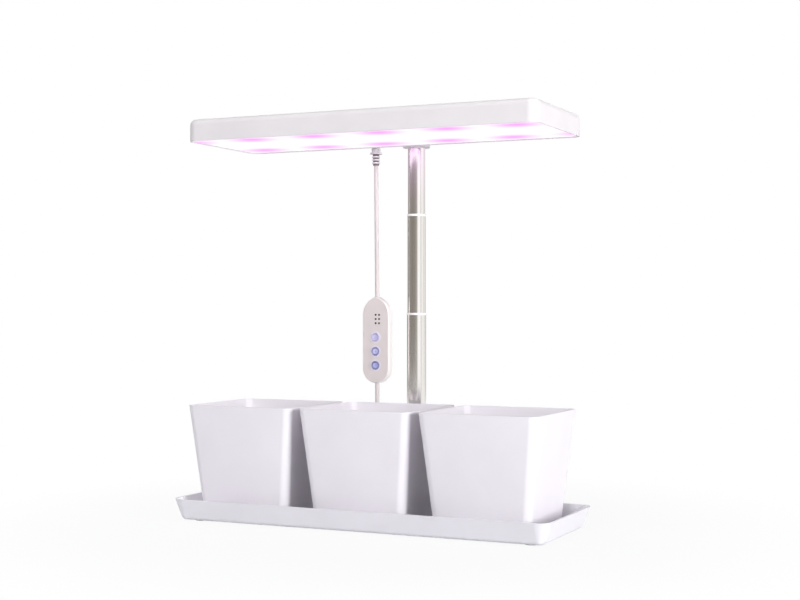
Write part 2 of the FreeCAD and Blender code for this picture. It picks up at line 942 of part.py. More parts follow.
def make_bush(step, label):
    """A nylon bush in a sliding tube's lower end, which rubs in the tube outside it."""
    radius = tube_radius(step)
    low = tube_bottom(step)
    flange = cylinder(radius, bush_height, 0, mast_y, low - bush_height)
    spigot = cylinder(radius - tube_wall - running_gap, bush_spigot, 0, mast_y, low)
    bore = cylinder(bush_bore, bush_height + bush_spigot, 0, mast_y, low - bush_height)
    return named(cut(fuse(flange, spigot), bore), label)


def boss_bottom():
    return lamp_underside


def make_lamp_housing():
    """The lamp's upper shell, with the boss that takes the mast behind its rear wall."""
    shell = plate(
        "housing_outside", lamp_length, lamp_width, lamp_corner, lamp_height,
        0, lamp_y, lamp_underside, round_top=lamp_top_round,
    )
    boss = new_body("housing_boss")
    sketch = new_sketch(boss)
    draw_circle(sketch, boss_radius)
    round_edges(boss, pad(boss, sketch, boss_height), boss_round, at_height(boss_height))
    place(boss, 0, mast_y, boss_bottom())
    neck_depth = mast_y - lamp_rear + lamp_wall
    neck = box(
        neck_width, neck_depth, neck_height,
        0, lamp_rear - lamp_wall + neck_depth / 2, lamp_underside,
    )
    cavity = plate(
        "housing_cavity", lamp_length - 2 * lamp_wall, lamp_width - 2 * lamp_wall,
        lamp_corner - lamp_wall, lamp_height - lamp_ceiling, 0, lamp_y, lamp_underside,
        round_top=lamp_top_round - lamp_wall,
    )
    rebate = plate(
        "housing_rebate", lamp_length - 2 * lamp_rim, lamp_width - 2 * lamp_rim,
        lamp_corner - lamp_rim, diffuser_recess + diffuser_thickness, 0, lamp_y, lamp_underside,
    )
    standoffs = [
        cylinder(standoff_radius, standoff_height, x, y, board_top) for x, y in board_screw_places()
    ]
    pilots = [
        cylinder(board_screw_radius + seat_gap, standoff_height, x, y, board_top)
        for x, y in board_screw_places()
    ]
    socket = cylinder(tube_radius(0) + seat_gap, boss_socket, 0, mast_y, boss_bottom())
    grub_hole = cylinder(grub_radius + seat_gap, boss_radius, 0, mast_y, boss_grub_z(), along="y")
    gland_hole = cylinder(
        gland_neck_radius + seat_gap, lamp_wall * 2, gland_x, lamp_rear - lamp_wall * 1.5,
        gland_z, along="y",
    )
    hollow = cut(fuse(shell, boss, neck), cavity, rebate)
    filled = fuse(hollow, *standoffs)
    return named(cut(filled, group(*pilots, socket, gland_hole), grub_hole), "lamp_housing")


def boss_grub_z():
    return boss_bottom() + boss_socket / 2


def make_boss_grub():
    """The grub screw that locks the top tube in the lamp's boss."""
    start = tube_radius(0) + running_gap
    reach = boss_radius - start - touch_gap
    return named(
        cylinder(grub_radius, reach, 0, mast_y + start, boss_grub_z(), along="y"), "boss_grub_screw"
    )


def board_rows():
    return [lamp_y - board_spacing / 2, lamp_y + board_spacing / 2]


def board_screw_places():
    return [(x, y) for y in board_rows() for x in board_screw_columns()]


def board_screw_columns():
    return [board_screw_span * i for i in (-1, 0, 1)]


def make_diffuser():
    """The opal sheet that closes the lamp's underside, with a skirt that grips inside the wall."""
    edge = lamp_rim + seat_gap
    sheet_plate = plate(
        "diffuser_sheet", lamp_length - 2 * edge, lamp_width - 2 * edge,
        lamp_corner - edge, diffuser_thickness,
        0, lamp_y, lamp_underside + diffuser_recess,
    )
    out = lamp_wall + seat_gap
    inner = out + diffuser_skirt_wall
    skirt = plate(
        "diffuser_skirt", lamp_length - 2 * out, lamp_width - 2 * out, lamp_corner - out,
        diffuser_skirt + diffuser_skirt_root, 0, lamp_y, ledge - diffuser_skirt_root,
    )
    hollow = plate(
        "diffuser_hollow", lamp_length - 2 * inner, lamp_width - 2 * inner, lamp_corner - inner,
        diffuser_skirt, 0, lamp_y, ledge,
    )
    return named(cut(fuse(sheet_plate, skirt), hollow), "diffuser")


def make_led_boards():
    """Two long aluminium circuit boards under the lamp's ceiling."""
    for y, label in zip(board_rows(), ("led_board_front", "led_board_rear")):
        board = plate(
            label + "_plate", board_length, board_width, board_corner, board_thickness,
            0, y, board_bottom,
        )
        holes = [
            cylinder(board_screw_radius + seat_gap, board_thickness, x, y, board_bottom)
            for x in board_screw_columns()
        ]
        named(cut(board, group(*holes)), label)


def make_leds():
    """The emitters alternate white and red along each board, out of step between the boards."""
    white, red = [], []
    for row, y in enumerate(board_rows()):
        for i in range(led_per_board):
            x = led_pitch * (i - (led_per_board - 1) / 2)
            emitter = box(led_side, led_side, led_height, x, y, board_bottom - led_height)
            (red if (i + row) % 2 else white).append(emitter)
    named(group(*white), "white_leds")
    named(group(*red), "red_leds")


def make_board_screws():
    reach = board_thickness + standoff_height - screw_end_gap
    screws = [
        screw(board_screw_radius, reach, board_head_radius, board_head_height, x, y, board_bottom)
        for x, y in board_screw_places()
    ]
    return named(group(*screws), "board_screws")


def make_leads():
    """Insulated leads inside the lamp: from the gland to the rear board, and on to the front one."""
    front, rear = board_rows()
    lie = board_top + lead_radius
    links = []
    for side in (-1, 1):
        x = link_x + lead_spacing * side / 2
        reach = rear - front
        links.append(cylinder(lead_radius, reach, x, front, lie, along="y"))
    named(group(*links), "link_leads")
    enter = float(lamp_rear - lamp_wall - touch_gap)
    edge = float(rear + board_width / 2)
    low, high = float(gland_z), float(lie)
    solids = []
    for side in (-1, 1):
        x = float(gland_x + lead_spacing * side / 2)
        route = [
            (x, enter, low), (x, enter - 4, low), (x, edge + 2, high), (x, edge - 4, high),
        ]
        solids.append(routed(route, lead_diameter, "inlet lead"))
    feature_of("inlet_leads", Part.makeCompound(solids))


def make_gland():
    """The moulded elbow that leads the cord out of the rear wall and down, with its ribbed boot."""
    inner_end = lamp_rear - lamp_wall - touch_gap
    neck = cylinder(
        gland_neck_radius, cord_y - cord_behind - inner_end, gland_x, inner_end, gland_z, along="y"
    )
    flange = cylinder(
        gland_flange_radius, gland_flange_thickness, gland_x, lamp_rear, gland_z, along="y"
    )
    elbow = doc.addObject("Part::Torus", "elbow")
    bind(elbow, Radius1=cord_behind, Radius2=gland_radius)
    elbow.Angle3 = 90
    elbow.Placement.Rotation = FreeCAD.Rotation(V(0, 1, 0), V(0, 0, 1), V(1, 0, 0), "ZXY")
    place(elbow, gland_x, lamp_rear, gland_z - cord_behind)
    drop = cylinder(gland_radius, gland_drop, gland_x, cord_y, boot_top)
    ring = cylinder(gland_flange_radius, gland_flange_thickness, gland_x, cord_y, boot_top)
    boot = cylinder(boot_radius, boot_length, gland_x, cord_y, boot_end)
    ribs = [
        cylinder(rib_radius, rib_height, gland_x, cord_y, boot_top - first_rib - rib_pitch * i)
        for i in range(rib_count)
    ]
    return named(fuse(neck, flange, elbow, drop, ring, boot, *ribs), "cord_gland")


# Controller: pieces that face the front have their faces square to Y


def case_ends():
    """The two places where the cord goes into the case."""
    half = controller_length / 2
    return [controller_z + half - grip_length, controller_z - half]


def make_controller_front():
    shell = case_plate("front_outside", 0, front_depth, case_front, round_front=case_round)
    seat = case_plate("front_face_seat", face_inset - seat_gap, face_seat - case_front, case_front)
    hollow = case_plate(
        "front_hollow", case_wall, seam_y - face_seat - case_wall, face_seat + case_wall
    )
    holes = [
        cylinder(button_radius + button_gap, front_depth, controller_x, case_front, z, along="y")
        for z in button_heights()
    ]
    holes += [
        cylinder(lens_radius + seat_gap, front_depth, x, case_front, z, along="y")
        for x, z in lens_places()
    ]
    ends = [cylinder(grip_radius + seat_gap, grip_length, cord_x, cord_y, z) for z in case_ends()]
    root = face_seat + case_wall
    pilot = case_screw_radius + seat_gap
    posts = [
        cut(
            cylinder(case_post_radius, post_length(), controller_x, root, z, along="y"),
            cylinder(pilot, post_length(), controller_x, root, z, along="y"),
        )
        for z in case_screw_heights()
    ]
    holed = cut(shell, seat, hollow, group(*holes, *ends))
    return named(fuse(holed, *posts), "controller_front")


def post_length():
    return circuit_front - face_seat - case_wall


def case_screw_heights():
    return [controller_z + case_screw_rise, controller_z - case_screw_drop]


def button_heights():
    return [controller_z + button_middle + button_pitch * i for i in (1, 0, -1)]


def lens_places():
    return [
        (
            controller_x + lens_middle_x + lens_pitch_x * (i - (lens_columns - 1) / 2),
            controller_z + lens_middle_z + lens_pitch_z * (j - (lens_rows - 1) / 2),
        )
        for i in range(lens_columns)
        for j in range(lens_rows)
    ]


def make_controller_face():
    """The thin front panel, set into the case, with holes for the buttons and lenses."""
    panel = case_plate("face_panel", face_inset, face_thickness, case_front - face_proud)
    start = case_front - face_proud
    holes = [
        cylinder(button_radius + button_gap, face_thickness, controller_x, start, z, along="y")
        for z in button_heights()
    ]
    holes += [
        cylinder(lens_radius + seat_gap, face_thickness, x, start, z, along="y")
        for x, z in lens_places()
    ]
    return named(cut(panel, group(*holes)), "controller_face")


def make_controller_back():
    shell = case_plate("back_outside", 0, back_depth, seam_y, round_back=case_round)
    hollow = case_plate("back_hollow", case_wall, back_depth - case_wall, seam_y)
    ends = [cylinder(grip_radius + seat_gap, grip_length, cord_x, cord_y, z) for z in case_ends()]
    posts = [
        cylinder(case_post_radius, case_back - case_wall - circuit_back(), controller_x,
                 circuit_back(), z, along="y")
        for z in case_screw_heights()
    ]
    holes = [
        cylinder(case_screw_radius + seat_gap, back_depth, controller_x, seam_y, z, along="y")
        for z in case_screw_heights()
    ]
    recesses = [
        cylinder(case_head_radius + seat_gap, case_head_height + case_head_sink, controller_x,
                 case_head_seat(), z, along="y")
        for z in case_screw_heights()
    ]
    solid = fuse(cut(shell, hollow, group(*ends)), *posts)
    return named(cut(solid, group(*holes), group(*recesses)), "controller_back")


def case_head_seat():
    """Where the heads of the case screws bear."""
    return case_back - case_head_height - case_head_sink


def circuit_back():
    return circuit_front + circuit_thickness


def make_controller_board():
    board = new_body("circuit")
    sketch = new_sketch(board, role="XZ_Plane")
    width = controller_width - 2 * (case_wall + circuit_margin)
    draw_stadium(sketch, width, controller_length - 2 * (grip_length + circuit_margin))
    pad(board, sketch, circuit_thickness)
    place(board, controller_x, circuit_front + circuit_thickness, controller_z)
    hole_radius = case_screw_radius + seat_gap
    holes = [
        cylinder(hole_radius, circuit_thickness, controller_x, circuit_front, z, along="y")
        for z in case_screw_heights()
    ]
    return named(cut(board, group(*holes)), "controller_board")


def make_tact_switches():
    """One push switch behind each button."""
    switches = [
        place(
            bound_box(switch_side, switch_height, switch_side),
            controller_x - switch_side / 2, circuit_front - switch_height, z - switch_side / 2,
        )
        for z in button_heights()
    ]
    return named(group(*switches), "tact_switches")


def bound_box(length, width, height):
    part = doc.addObject("Part::Box", "box")
    bind(part, Length=length, Width=width, Height=height)
    return part


def make_buttons():
    """Three push buttons: a domed cap, a flange that keeps it in the case and a stem."""
    cap_back = face_seat + case_wall + touch_gap
    cap_front = case_front - face_proud - button_proud
    switch_front = circuit_front - switch_height
    for z, label in zip(button_heights(), ("button_timer", "button_dimmer", "button_power")):
        cap = new_body(label + "_cap")
        sketch = new_sketch(cap, role="XZ_Plane")
        draw_circle(sketch, button_radius)
        top = pad(cap, sketch, cap_back - cap_front)
        round_edges(cap, top, button_dome, at_height(-float(cap_back - cap_front), "y"))
        place(cap, controller_x, cap_back, z)
        flange = cylinder(
            button_radius + button_flange, button_flange_height,
            controller_x, cap_back, z, along="y",
        )
        stem_start = cap_back + button_flange_height
        stem = cylinder(
            button_stem, switch_front - button_travel - running_gap - stem_start,
            controller_x, stem_start, z, along="y",
        )
        named(fuse(cap, flange, stem), label)


def make_indicator_lenses():
    front = case_front - face_proud
    reach = circuit_front - touch_gap - front
    lenses = [cylinder(lens_radius, reach, x, front, z, along="y") for x, z in lens_places()]
    return named(group(*lenses), "indicator_lenses")


def make_controller_screws():
    screws = []
    reach = case_head_seat() - circuit_front + post_length() - screw_end_gap
    for z in case_screw_heights():
        head = cylinder(
            case_head_radius, case_head_height, controller_x, case_head_seat(), z, along="y"
        )
        shank = cylinder(
            case_screw_radius, reach, controller_x, case_head_seat() - reach, z, along="y"
        )
        screws.append(fuse(head, shank))
    return named(group(*screws), "controller_screws")


def make_cord_grips():
    """Rubber grips that hold the cord where it goes into the controller."""
    grips = [cylinder(grip_radius, grip_length, cord_x, cord_y, z) for z in case_ends()]
    return named(group(*grips), "cord_grips")


def make_pots():
    """Three tapered pots with drain holes in their floors."""
    for x, label in zip(pot_places(), ("pot_left", "pot_middle", "pot_right")):
        low = (pot_bottom, pot_bottom_depth, pot_bottom_corner)
        high = (pot_top, pot_top_depth, pot_top_corner)
        outside = flared_block(label + "_outside", low, high, pot_height)
        shrink = 2 * pot_wall - 2 * pot_taper * pot_floor / pot_height
        inner_low = (pot_bottom - shrink, pot_bottom_depth - shrink, pot_bottom_corner - pot_wall)
        inner_high = (
            pot_top - 2 * pot_wall, pot_top_depth - 2 * pot_wall, pot_top_corner - pot_wall
        )
        inside = flared_block(
            label + "_inside", inner_low, inner_high, pot_height - pot_floor, 0, pot_floor
        )
        holes = [cylinder(drain_radius, pot_floor)]
        for i in range(4):
            angle = math.radians(45 + 90 * i)
            x_off, y_off = drain_ring * math.cos(angle), drain_ring * math.sin(angle)
            holes.append(cylinder(drain_radius, pot_floor, x_off, y_off))
        place(named(cut(outside, inside, group(*holes)), label), x, tray_y, pot_base)


# Cord: the upper stretch hangs from the gland to the controller, and the lower one from there
# to the table. Each is two lengths, because the mast's sections slide one after another.


def make_hanging_cord():
    controller_bottom = controller_top - controller_length
    lengths = (
        ("cord_upper_top", boot_end, upper_split),
        ("cord_upper_low", upper_split, controller_top),
        ("cord_lower_top", controller_bottom, lower_split),
        ("cord_lower_low", lower_split, bend_start),
    )
    for label, high, low in lengths:
        named(cylinder(cord_radius, high - low, cord_x, cord_y, low), label)


def turns_in_coil():
    return coil_layers * coil_layer_turns


def radius_at(turn):
    """The coil spirals in and out again at a steady rate, layer by layer."""
    layer = min(int(turn / coil_layer_turns), coil_layers - 1)
    share = turn / coil_layer_turns - layer - 0.5
    swing = share if layer % 2 else -share
    return float(coil_radius) + swing * coil_layer_turns * float(coil_pitch)


def height_at(turn):
    """The coil's line is level in a layer, and climbs in the half turn round each reversal."""
    climbs = 0.0
    for layer in range(1, coil_layers):
        share = min(1.0, max(0.0, 2 * (turn - layer * coil_layer_turns) + 0.5))
        climbs += share * share * (3 - 2 * share)
    return float(cord_radius) + float(coil_floor) + climbs * float(coil_pitch)


def coil_point(turn):
    """The coil starts at its front and runs clockwise, seen from above."""
    angle = -math.pi / 2 - 2 * math.pi * turn
    return V(
        float(coil_x) + radius_at(turn) * math.cos(angle),
        float(coil_y) + radius_at(turn) * math.sin(angle),
        height_at(turn),
    )


def coil_way(turn):
    """Direction of the coil's line, kept level at the two ends."""
    step = 1e-3
    last = turns_in_coil()
    way = coil_point(min(last, turn + step)) - coil_point(max(0.0, turn - step))
    if turn <= 0 or turn >= last:
        way.z = 0
    return way.normalize()


def coil_ends():
    """The two end faces' middles: the tube runs straight there for one diameter."""
    last = turns_in_coil()
    return (
        coil_point(0) - coil_way(0) * float(cord_diameter),
        coil_point(last) + coil_way(last) * float(cord_diameter),
    )


def make_coil():
    """The spare cord, wound into a neat round coil of four layers."""
    last = turns_in_coil()
    enter, leave = coil_ends()
    knots = round(last * 8)
    edges = [Part.LineSegment(enter, coil_point(0)).toShape()]
    for i in range(knots):
        a, b = last * i / knots, last * (i + 1) / knots
        edges += biarc(coil_point(a), coil_way(a), coil_point(b), coil_way(b))
    edges.append(Part.LineSegment(coil_point(last), leave).toShape())
    solid, length, share = swept(edges, float(cord_diameter), enter, coil_way(0))
    report_tube("cord_coil", solid, length, share)
    samples = 150
    points = [coil_point(last * i / samples / 8) for i in range(samples * 8 + 1)]
    near = round(samples * 8 / last / 2)
    least = min(
        (points[i] - points[j]).Length
        for i in range(0, len(points), 2)
        for j in range(i + near, len(points))
    )
    print(f"cord_coil: least gap to itself {least - float(cord_diameter):.2f}")
    feature_of("cord_coil", solid)


def make_coil_tie():
    """A flat tie round all the turns, at the coil's left."""
    reach = float(tie_width) / 2 + float(cord_radius)
    last = turns_in_coil()
    near = [coil_point(last * i / 1200) for i in range(1201)]
    near = [p for p in near if p.x < float(coil_x) and abs(p.y - float(coil_y)) < reach]
    left = min(p.x for p in near) - float(cord_radius)
    right = max(p.x for p in near) + float(cord_radius)
    width = sized(right - left) + 2 * touch_gap
    height = coil_pitch * (coil_layers - 1) + cord_diameter + 2 * touch_gap
    tie = new_body("tie")
    outline = new_sketch(tie, role="XZ_Plane")
    draw_rounded_rectangle(outline, width + 2 * tie_thickness, height + 2 * tie_thickness, tie_corner)
    pad(tie, outline, tie_width)
    opening = new_sketch(tie, role="XZ_Plane")
    draw_rounded_rectangle(opening, width, height, tie_corner - tie_thickness)
    pocket(tie, opening, tie_width, reversed_=True)
    named(tie, "coil_tie")
    place(tie, sized((left + right) / 2), coil_y + tie_width / 2, height / 2 + tie_thickness)


def make_laid_cord():
    """The cord's bend onto the table and its run to the coil, and its tail to the plug."""
    enter, leave = coil_ends()
    x, y = float(cord_x), float(cord_y)
    lie = float(cord_radius)
    before_coil = enter - coil_way(0) * coil_run_in
    bend = [
        (x, y, float(bend_start)),
        (x, y, bend_drop),
        (x - 5.2, y - 0.3, bend_low),
        (x - 14.2, y - 1.4, lie),
        tuple(before_coil),
        tuple(enter),
    ]
    feature_of("cord_bend", routed(bend, cord_diameter, "cord_bend"))
    entry = plug_entry()
    after_coil = leave + coil_way(turns_in_coil()) * coil_run_out
    tail = [
        tuple(leave),
        tuple(after_coil),
        (entry.x - 2 * plug_run_in, entry.y + 0.7, tail_height),
        (entry.x - plug_run_in, entry.y, entry.z),
        tuple(entry),
    ]
    feature_of("cord_tail", routed(tail, cord_diameter, "cord_tail"))


def plug_entry():
    """Where the cord goes into the plug's neck."""
    return V(float(plug_x), float(plug_y), float(plug_height) / 2)


def make_plug():
    """The moulded plug, lying flat, with its metal shell and the plate inside that."""
    middle = plug_height / 2
    grip = plate(
        "plug_grip", plug_length, plug_width, plug_round * 2, plug_height,
        plug_x + plug_neck_length + plug_length / 2, plug_y, 0, round_top=plug_round / 2,
    )
    neck = cylinder(
        plug_neck_radius, plug_neck_length + plug_neck_root, plug_x, plug_y, middle, along="x"
    )
    front = plug_x + plug_neck_length + plug_length
    seat = box(
        shell_seat, shell_width, shell_height,
        front - shell_seat / 2, plug_y, middle - shell_height / 2,
    )
    named(cut(fuse(grip, neck), seat), "plug_body")
    length = shell_length + shell_seat
    middle_x = front - shell_seat + length / 2
    sleeve = box(length, shell_width, shell_height, middle_x, plug_y, middle - shell_height / 2)
    inside = box(
        length, shell_width - 2 * shell_wall, shell_height - 2 * shell_wall,
        middle_x, plug_y, middle - shell_height / 2 + shell_wall,
    )
    named(cut(sleeve, inside), "plug_shell")
    shell_ceiling = middle + shell_height / 2 - shell_wall - running_gap
    contacts = box(
        length - 2 * contact_setback, shell_width - 2 * (shell_wall + running_gap), contact_plate,
        middle_x - contact_setback, plug_y, shell_ceiling - contact_plate,
    )
    named(contacts, "plug_contact_plate")


make_tray()
make_feet_pads()
make_mast_foot()
make_foot_screws()
make_mast_screw()
make_base_plug()
make_foot_grub()
make_tube(3, "mast_tube_outer")
for mast_step, section in ((2, "lower"), (1, "middle"), (0, "top")):
    make_tube(mast_step, f"mast_tube_{section}")
    make_bush(mast_step, f"bush_{section}")
make_lamp_housing()
make_boss_grub()
make_diffuser()
make_led_boards()
make_leds()
make_board_screws()
make_leads()
make_gland()
make_controller_front()
make_controller_face()
make_controller_back()
make_controller_board()
make_tact_switches()
make_buttons()
make_indicator_lenses()
make_controller_screws()
make_cord_grips()
make_pots()
make_hanging_cord()
make_coil()
make_coil_tie()
make_laid_cord()
make_plug()

doc.recompute()
for obj in doc.Objects:
    if "Invalid" in obj.State or "Error" in obj.State:
        raise RuntimeError(f"{obj.Label} failed: {obj.State}")
for obj in nodes:
    if obj.Shape.isNull() or not obj.Shape.isValid() or not obj.Shape.Solids:
        raise RuntimeError(f"{obj.Label} has no valid solid")

os.makedirs("parts", exist_ok=True)
for obj in nodes:
    obj.Shape.exportStep(f"parts/{obj.Label}.step")
print(f"{len(nodes)} sub-parts written")
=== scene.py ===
# %% [markdown]
# # A countertop garden, dressed
#
# The object is a small indoor garden: three tapered square pots stand in a long drip tray,
# and a flat grow lamp hangs over them on a telescopic mast behind the tray. A controller
# with three buttons hangs on the lamp's cord. The imported model brings every rigid piece in
# its real place and size, in metres. This lesson adds what the eye expects on top of that:
# cords, softened plastic, lit buttons, polished tubes, light and a camera.
#
# The imported model is loaded first, because each new piece is placed by it.

# %% Load the imported model
import json
import math
import bpy
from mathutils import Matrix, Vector


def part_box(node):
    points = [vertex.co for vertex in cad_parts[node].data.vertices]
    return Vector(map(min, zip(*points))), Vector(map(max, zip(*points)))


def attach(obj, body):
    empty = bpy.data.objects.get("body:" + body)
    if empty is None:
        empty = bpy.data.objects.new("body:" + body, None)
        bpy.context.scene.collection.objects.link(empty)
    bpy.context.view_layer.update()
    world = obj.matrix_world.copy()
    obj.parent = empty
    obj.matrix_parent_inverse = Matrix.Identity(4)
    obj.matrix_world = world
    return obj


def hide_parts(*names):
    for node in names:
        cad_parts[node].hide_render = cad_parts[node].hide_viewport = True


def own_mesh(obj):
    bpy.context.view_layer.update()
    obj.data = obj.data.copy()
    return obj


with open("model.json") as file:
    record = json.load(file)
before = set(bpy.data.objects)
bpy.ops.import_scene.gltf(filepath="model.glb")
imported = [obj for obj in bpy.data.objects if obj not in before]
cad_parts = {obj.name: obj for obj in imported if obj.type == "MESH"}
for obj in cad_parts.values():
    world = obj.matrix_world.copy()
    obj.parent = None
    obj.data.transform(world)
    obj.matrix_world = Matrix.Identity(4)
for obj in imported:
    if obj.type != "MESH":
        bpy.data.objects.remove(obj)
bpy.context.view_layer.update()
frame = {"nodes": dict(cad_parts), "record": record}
nodes = frame["nodes"]

# %% [markdown]
# ## Camera
#
# The view is low and a little to the right, a long lens from about 1.4 m, almost level.
# It is added before anything else, because every piece is judged through it. The numbers
# come from the directions of the tray's and the lamp's edges.

# %% Camera
MM = 0.001
scene = bpy.context.scene
scene.view_settings.view_transform = "Standard"

eye_place = (0.61173, -1.28943, 0.21593)
eye_turn = math.radians(24.847)
eye_tilt = math.radians(0.263)
bpy.ops.object.camera_add(location=eye_place, rotation=(math.pi / 2 + eye_tilt, 0, eye_turn))
camera = bpy.context.object
camera.name = "view_camera"
camera.data.lens = 64.07
camera.data.sensor_width = 36
scene.camera = camera
print("camera", tuple(round(x, 3) for x in camera.location))

# %% [markdown]
# ## Helpers for materials
#
# Every finish here is built from shader nodes. One function turns a hex colour, as it is
# read off a screen, into the linear numbers that the shader wants. One function adds a node
# with its settings, plain values and links, so that a material reads as a short list.

# %% Colour and node helpers
def linear(hex_colour):
    """A screen colour such as "e6e3ea" as linear red, green, blue and full opacity."""
    parts = [int(hex_colour[i:i + 2], 16) / 255 for i in (0, 2, 4)]
    return [c / 12.92 if c <= 0.04045 else ((c + 0.055) / 1.055) ** 2.4 for c in parts] + [1]


def add_node(material, kind, values=None, links=None, **settings):
    """Adds a node; values and links go to its inputs by name or number."""
    node = material.node_tree.nodes.new(kind)
    for name, setting in settings.items():
        setattr(node, name, setting)
    for socket, value in (values or {}).items():
        node.inputs[socket].default_value = value
    for socket, source in (links or {}).items():
        material.node_tree.links.new(source, node.inputs[socket])
    return node


def start_material(name, roughness, ior=1.46, metallic=0.0):
    """A new material and its shader, with the values that are the same all over set on it."""
    material = bpy.data.materials.new(name)
    material.use_nodes = True
    shader = material.node_tree.nodes["Principled BSDF"]
    shader.inputs["Roughness"].default_value = roughness
    shader.inputs["Metallic"].default_value = metallic
    if not metallic:
        shader.inputs["IOR"].default_value = ior
    return material, shader


print("white is", linear("ffffff"))

# %% [markdown]
# ## Moulded plastic
#
# Most of the object is injection-moulded polypropylene or ABS. A moulded face is never one
# flat colour: the resin mottles a little over a few centimetres, and the tool's spark-eroded
# skin gives a fine grain that breaks up the shine. So two shades are mixed by a slow noise,
# the roughness wanders by a few hundredths, and a fine noise raises a low bump. A real grain
# is about 0.1 mm and would vanish at this distance, so it is drawn about four times as coarse.

# %% A function for moulded finishes
def moulded(name, light, dark, roughness, grain=0.4, depth=0.02, mottle=45, ior=1.48):
    """Grain and mottle are sizes in millimetres, and depth is the grain's height."""
    material, shader = start_material(name, roughness, ior)
    place = add_node(material, "ShaderNodeTexCoord").outputs["Object"]
    slow = add_node(
        material, "ShaderNodeTexNoise",
        {"Scale": 1 / (mottle * MM), "Detail": 3.0}, {"Vector": place},
    )
    shades = add_node(material, "ShaderNodeValToRGB", links={"Fac": slow.outputs["Fac"]})
    shades.color_ramp.elements[0].color = linear(dark)
    shades.color_ramp.elements[0].position = 0.3
    shades.color_ramp.elements[1].color = linear(light)
    shades.color_ramp.elements[1].position = 0.7
    sheen = add_node(
        material, "ShaderNodeMapRange",
        {"From Min": 0.3, "From Max": 0.7, "To Min": roughness - 0.04, "To Max": roughness + 0.04},
        {"Value": slow.outputs["Fac"]},
    )
    fine = add_node(
        material, "ShaderNodeTexNoise",
        {"Scale": 1 / (grain * MM), "Detail": 2.0}, {"Vector": place},
    )
    skin = add_node(
        material, "ShaderNodeBump",
        {"Strength": 0.35, "Distance": depth * MM}, {"Height": fine.outputs["Fac"]},
    )
    join = material.node_tree.links.new
    join(shades.outputs["Color"], shader.inputs["Base Color"])
    join(sheen.outputs["Result"], shader.inputs["Roughness"])
    join(skin.outputs["Normal"], shader.inputs["Normal"])
    return material


finishes = {}
# Polypropylene pots, cool white with a breath of lilac, satin
finishes["pot_plastic"] = moulded("moulded_polypropylene_pots", "ece9ee", "e9e5eb", 0.42)
# The tray is the same resin from another tool, a touch greyer
finishes["tray_plastic"] = moulded("moulded_polypropylene_tray", "edebf0", "e9e7ec", 0.38)
# ABS lamp shell, warmer and smoother than the pots
finishes["lamp_plastic"] = moulded("moulded_abs_lamp", "ebe7e9", "e6e2e5", 0.36)
# ABS controller case and its finely frosted face panel
finishes["case_plastic"] = moulded("moulded_abs_case", "f1ecea", "ebe6e4", 0.34)
finishes["plug_plastic"] = moulded("moulded_pvc_plug", "e4e2e3", "dddbdd", 0.45)
finishes["contact_plastic"] = moulded("moulded_contact_carrier", "ebebed", "e4e4e7", 0.4)
finishes["tie_plastic"] = moulded("moulded_soft_tie", "d2d2d8", "c6c6cd", 0.5)
finishes["nylon"] = moulded("natural_nylon", "ede9de", "e4dfd2", 0.4)
finishes["pad_rubber"] = moulded("grey_foot_rubber", "8f8f94", "7f7f85", 0.8, grain=0.8, depth=0.06)
finishes["gland_rubber"] = moulded("moulded_soft_grip", "ebe6e9", "e2dde0", 0.5)
finishes["cord_sheath"] = moulded("pvc_cord_sheath", "dcd3d3", "d3cbcb", 0.42, grain=0.6)
finishes["lead_insulation"] = moulded("lead_insulation", "dcdcdf", "cfcfd3", 0.5)
finishes["switch_plastic"] = moulded("black_switch_plastic", "242426", "1a1a1c", 0.45)
finishes["circuit_laminate"] = moulded("green_circuit_laminate", "1c5c38", "174d2f", 0.4)
print(len(finishes), "moulded finishes")

# %% [markdown]
# ## Metals
#
# The mast's tubes are drawn steel, plated and polished. A metal keeps its default index and
# takes its look from its colour, its roughness and what it mirrors. Polishing lines run
# along a drawn tube, so the noise is stretched in Z. Zinc on the screws is duller and
# slightly mottled, and the base plug is turned aluminium. The topmost tube also shows the
# lamp's pink light. That light is painted, as a faint glow that fades down the tube.

# %% A function for metal finishes
def metal(name, light, dark, roughness, stretch=(1, 1, 1), grain=0.5, depth=0.004):
    """Stretch makes the lines longer along an axis, as drawing and turning do."""
    material, shader = start_material(name, roughness, metallic=1.0)
    place = add_node(material, "ShaderNodeTexCoord").outputs["Object"]
    drawn = add_node(
        material, "ShaderNodeMapping",
        {"Scale": tuple(1 / s for s in stretch)}, {"Vector": place},
    )
    lines = add_node(
        material, "ShaderNodeTexNoise",
        {"Scale": 1 / (grain * MM), "Detail": 3.0}, {"Vector": drawn.outputs["Vector"]},
    )
    shades = add_node(material, "ShaderNodeValToRGB", links={"Fac": lines.outputs["Fac"]})
    shades.color_ramp.elements[0].color = linear(dark)
    shades.color_ramp.elements[0].position = 0.3
    shades.color_ramp.elements[1].color = linear(light)
    shades.color_ramp.elements[1].position = 0.7
    sheen = add_node(
        material, "ShaderNodeMapRange",
        {"From Min": 0.3, "From Max": 0.7, "To Min": roughness * 0.85, "To Max": roughness * 1.15},
        {"Value": lines.outputs["Fac"]},
    )
    skin = add_node(
        material, "ShaderNodeBump",
        {"Strength": 0.3, "Distance": depth * MM}, {"Height": lines.outputs["Fac"]},
    )
    join = material.node_tree.links.new
    join(shades.outputs["Color"], shader.inputs["Base Color"])
    join(sheen.outputs["Result"], shader.inputs["Roughness"])
    join(skin.outputs["Normal"], shader.inputs["Normal"])
    return material


# Shades, roughness, stretch, grain and depth of the mast's steel
mast_look = ("f3f1ee", "ebe8e4", 0.14, (1, 1, 60), 0.3, 0.001)
finishes["mast_steel"] = metal("polished_plated_steel", *mast_look)
cast_low, cast_high = 300 * MM, 382 * MM
cast_shades = ((0.35, "30252f"), (0.7, "5c4360"))


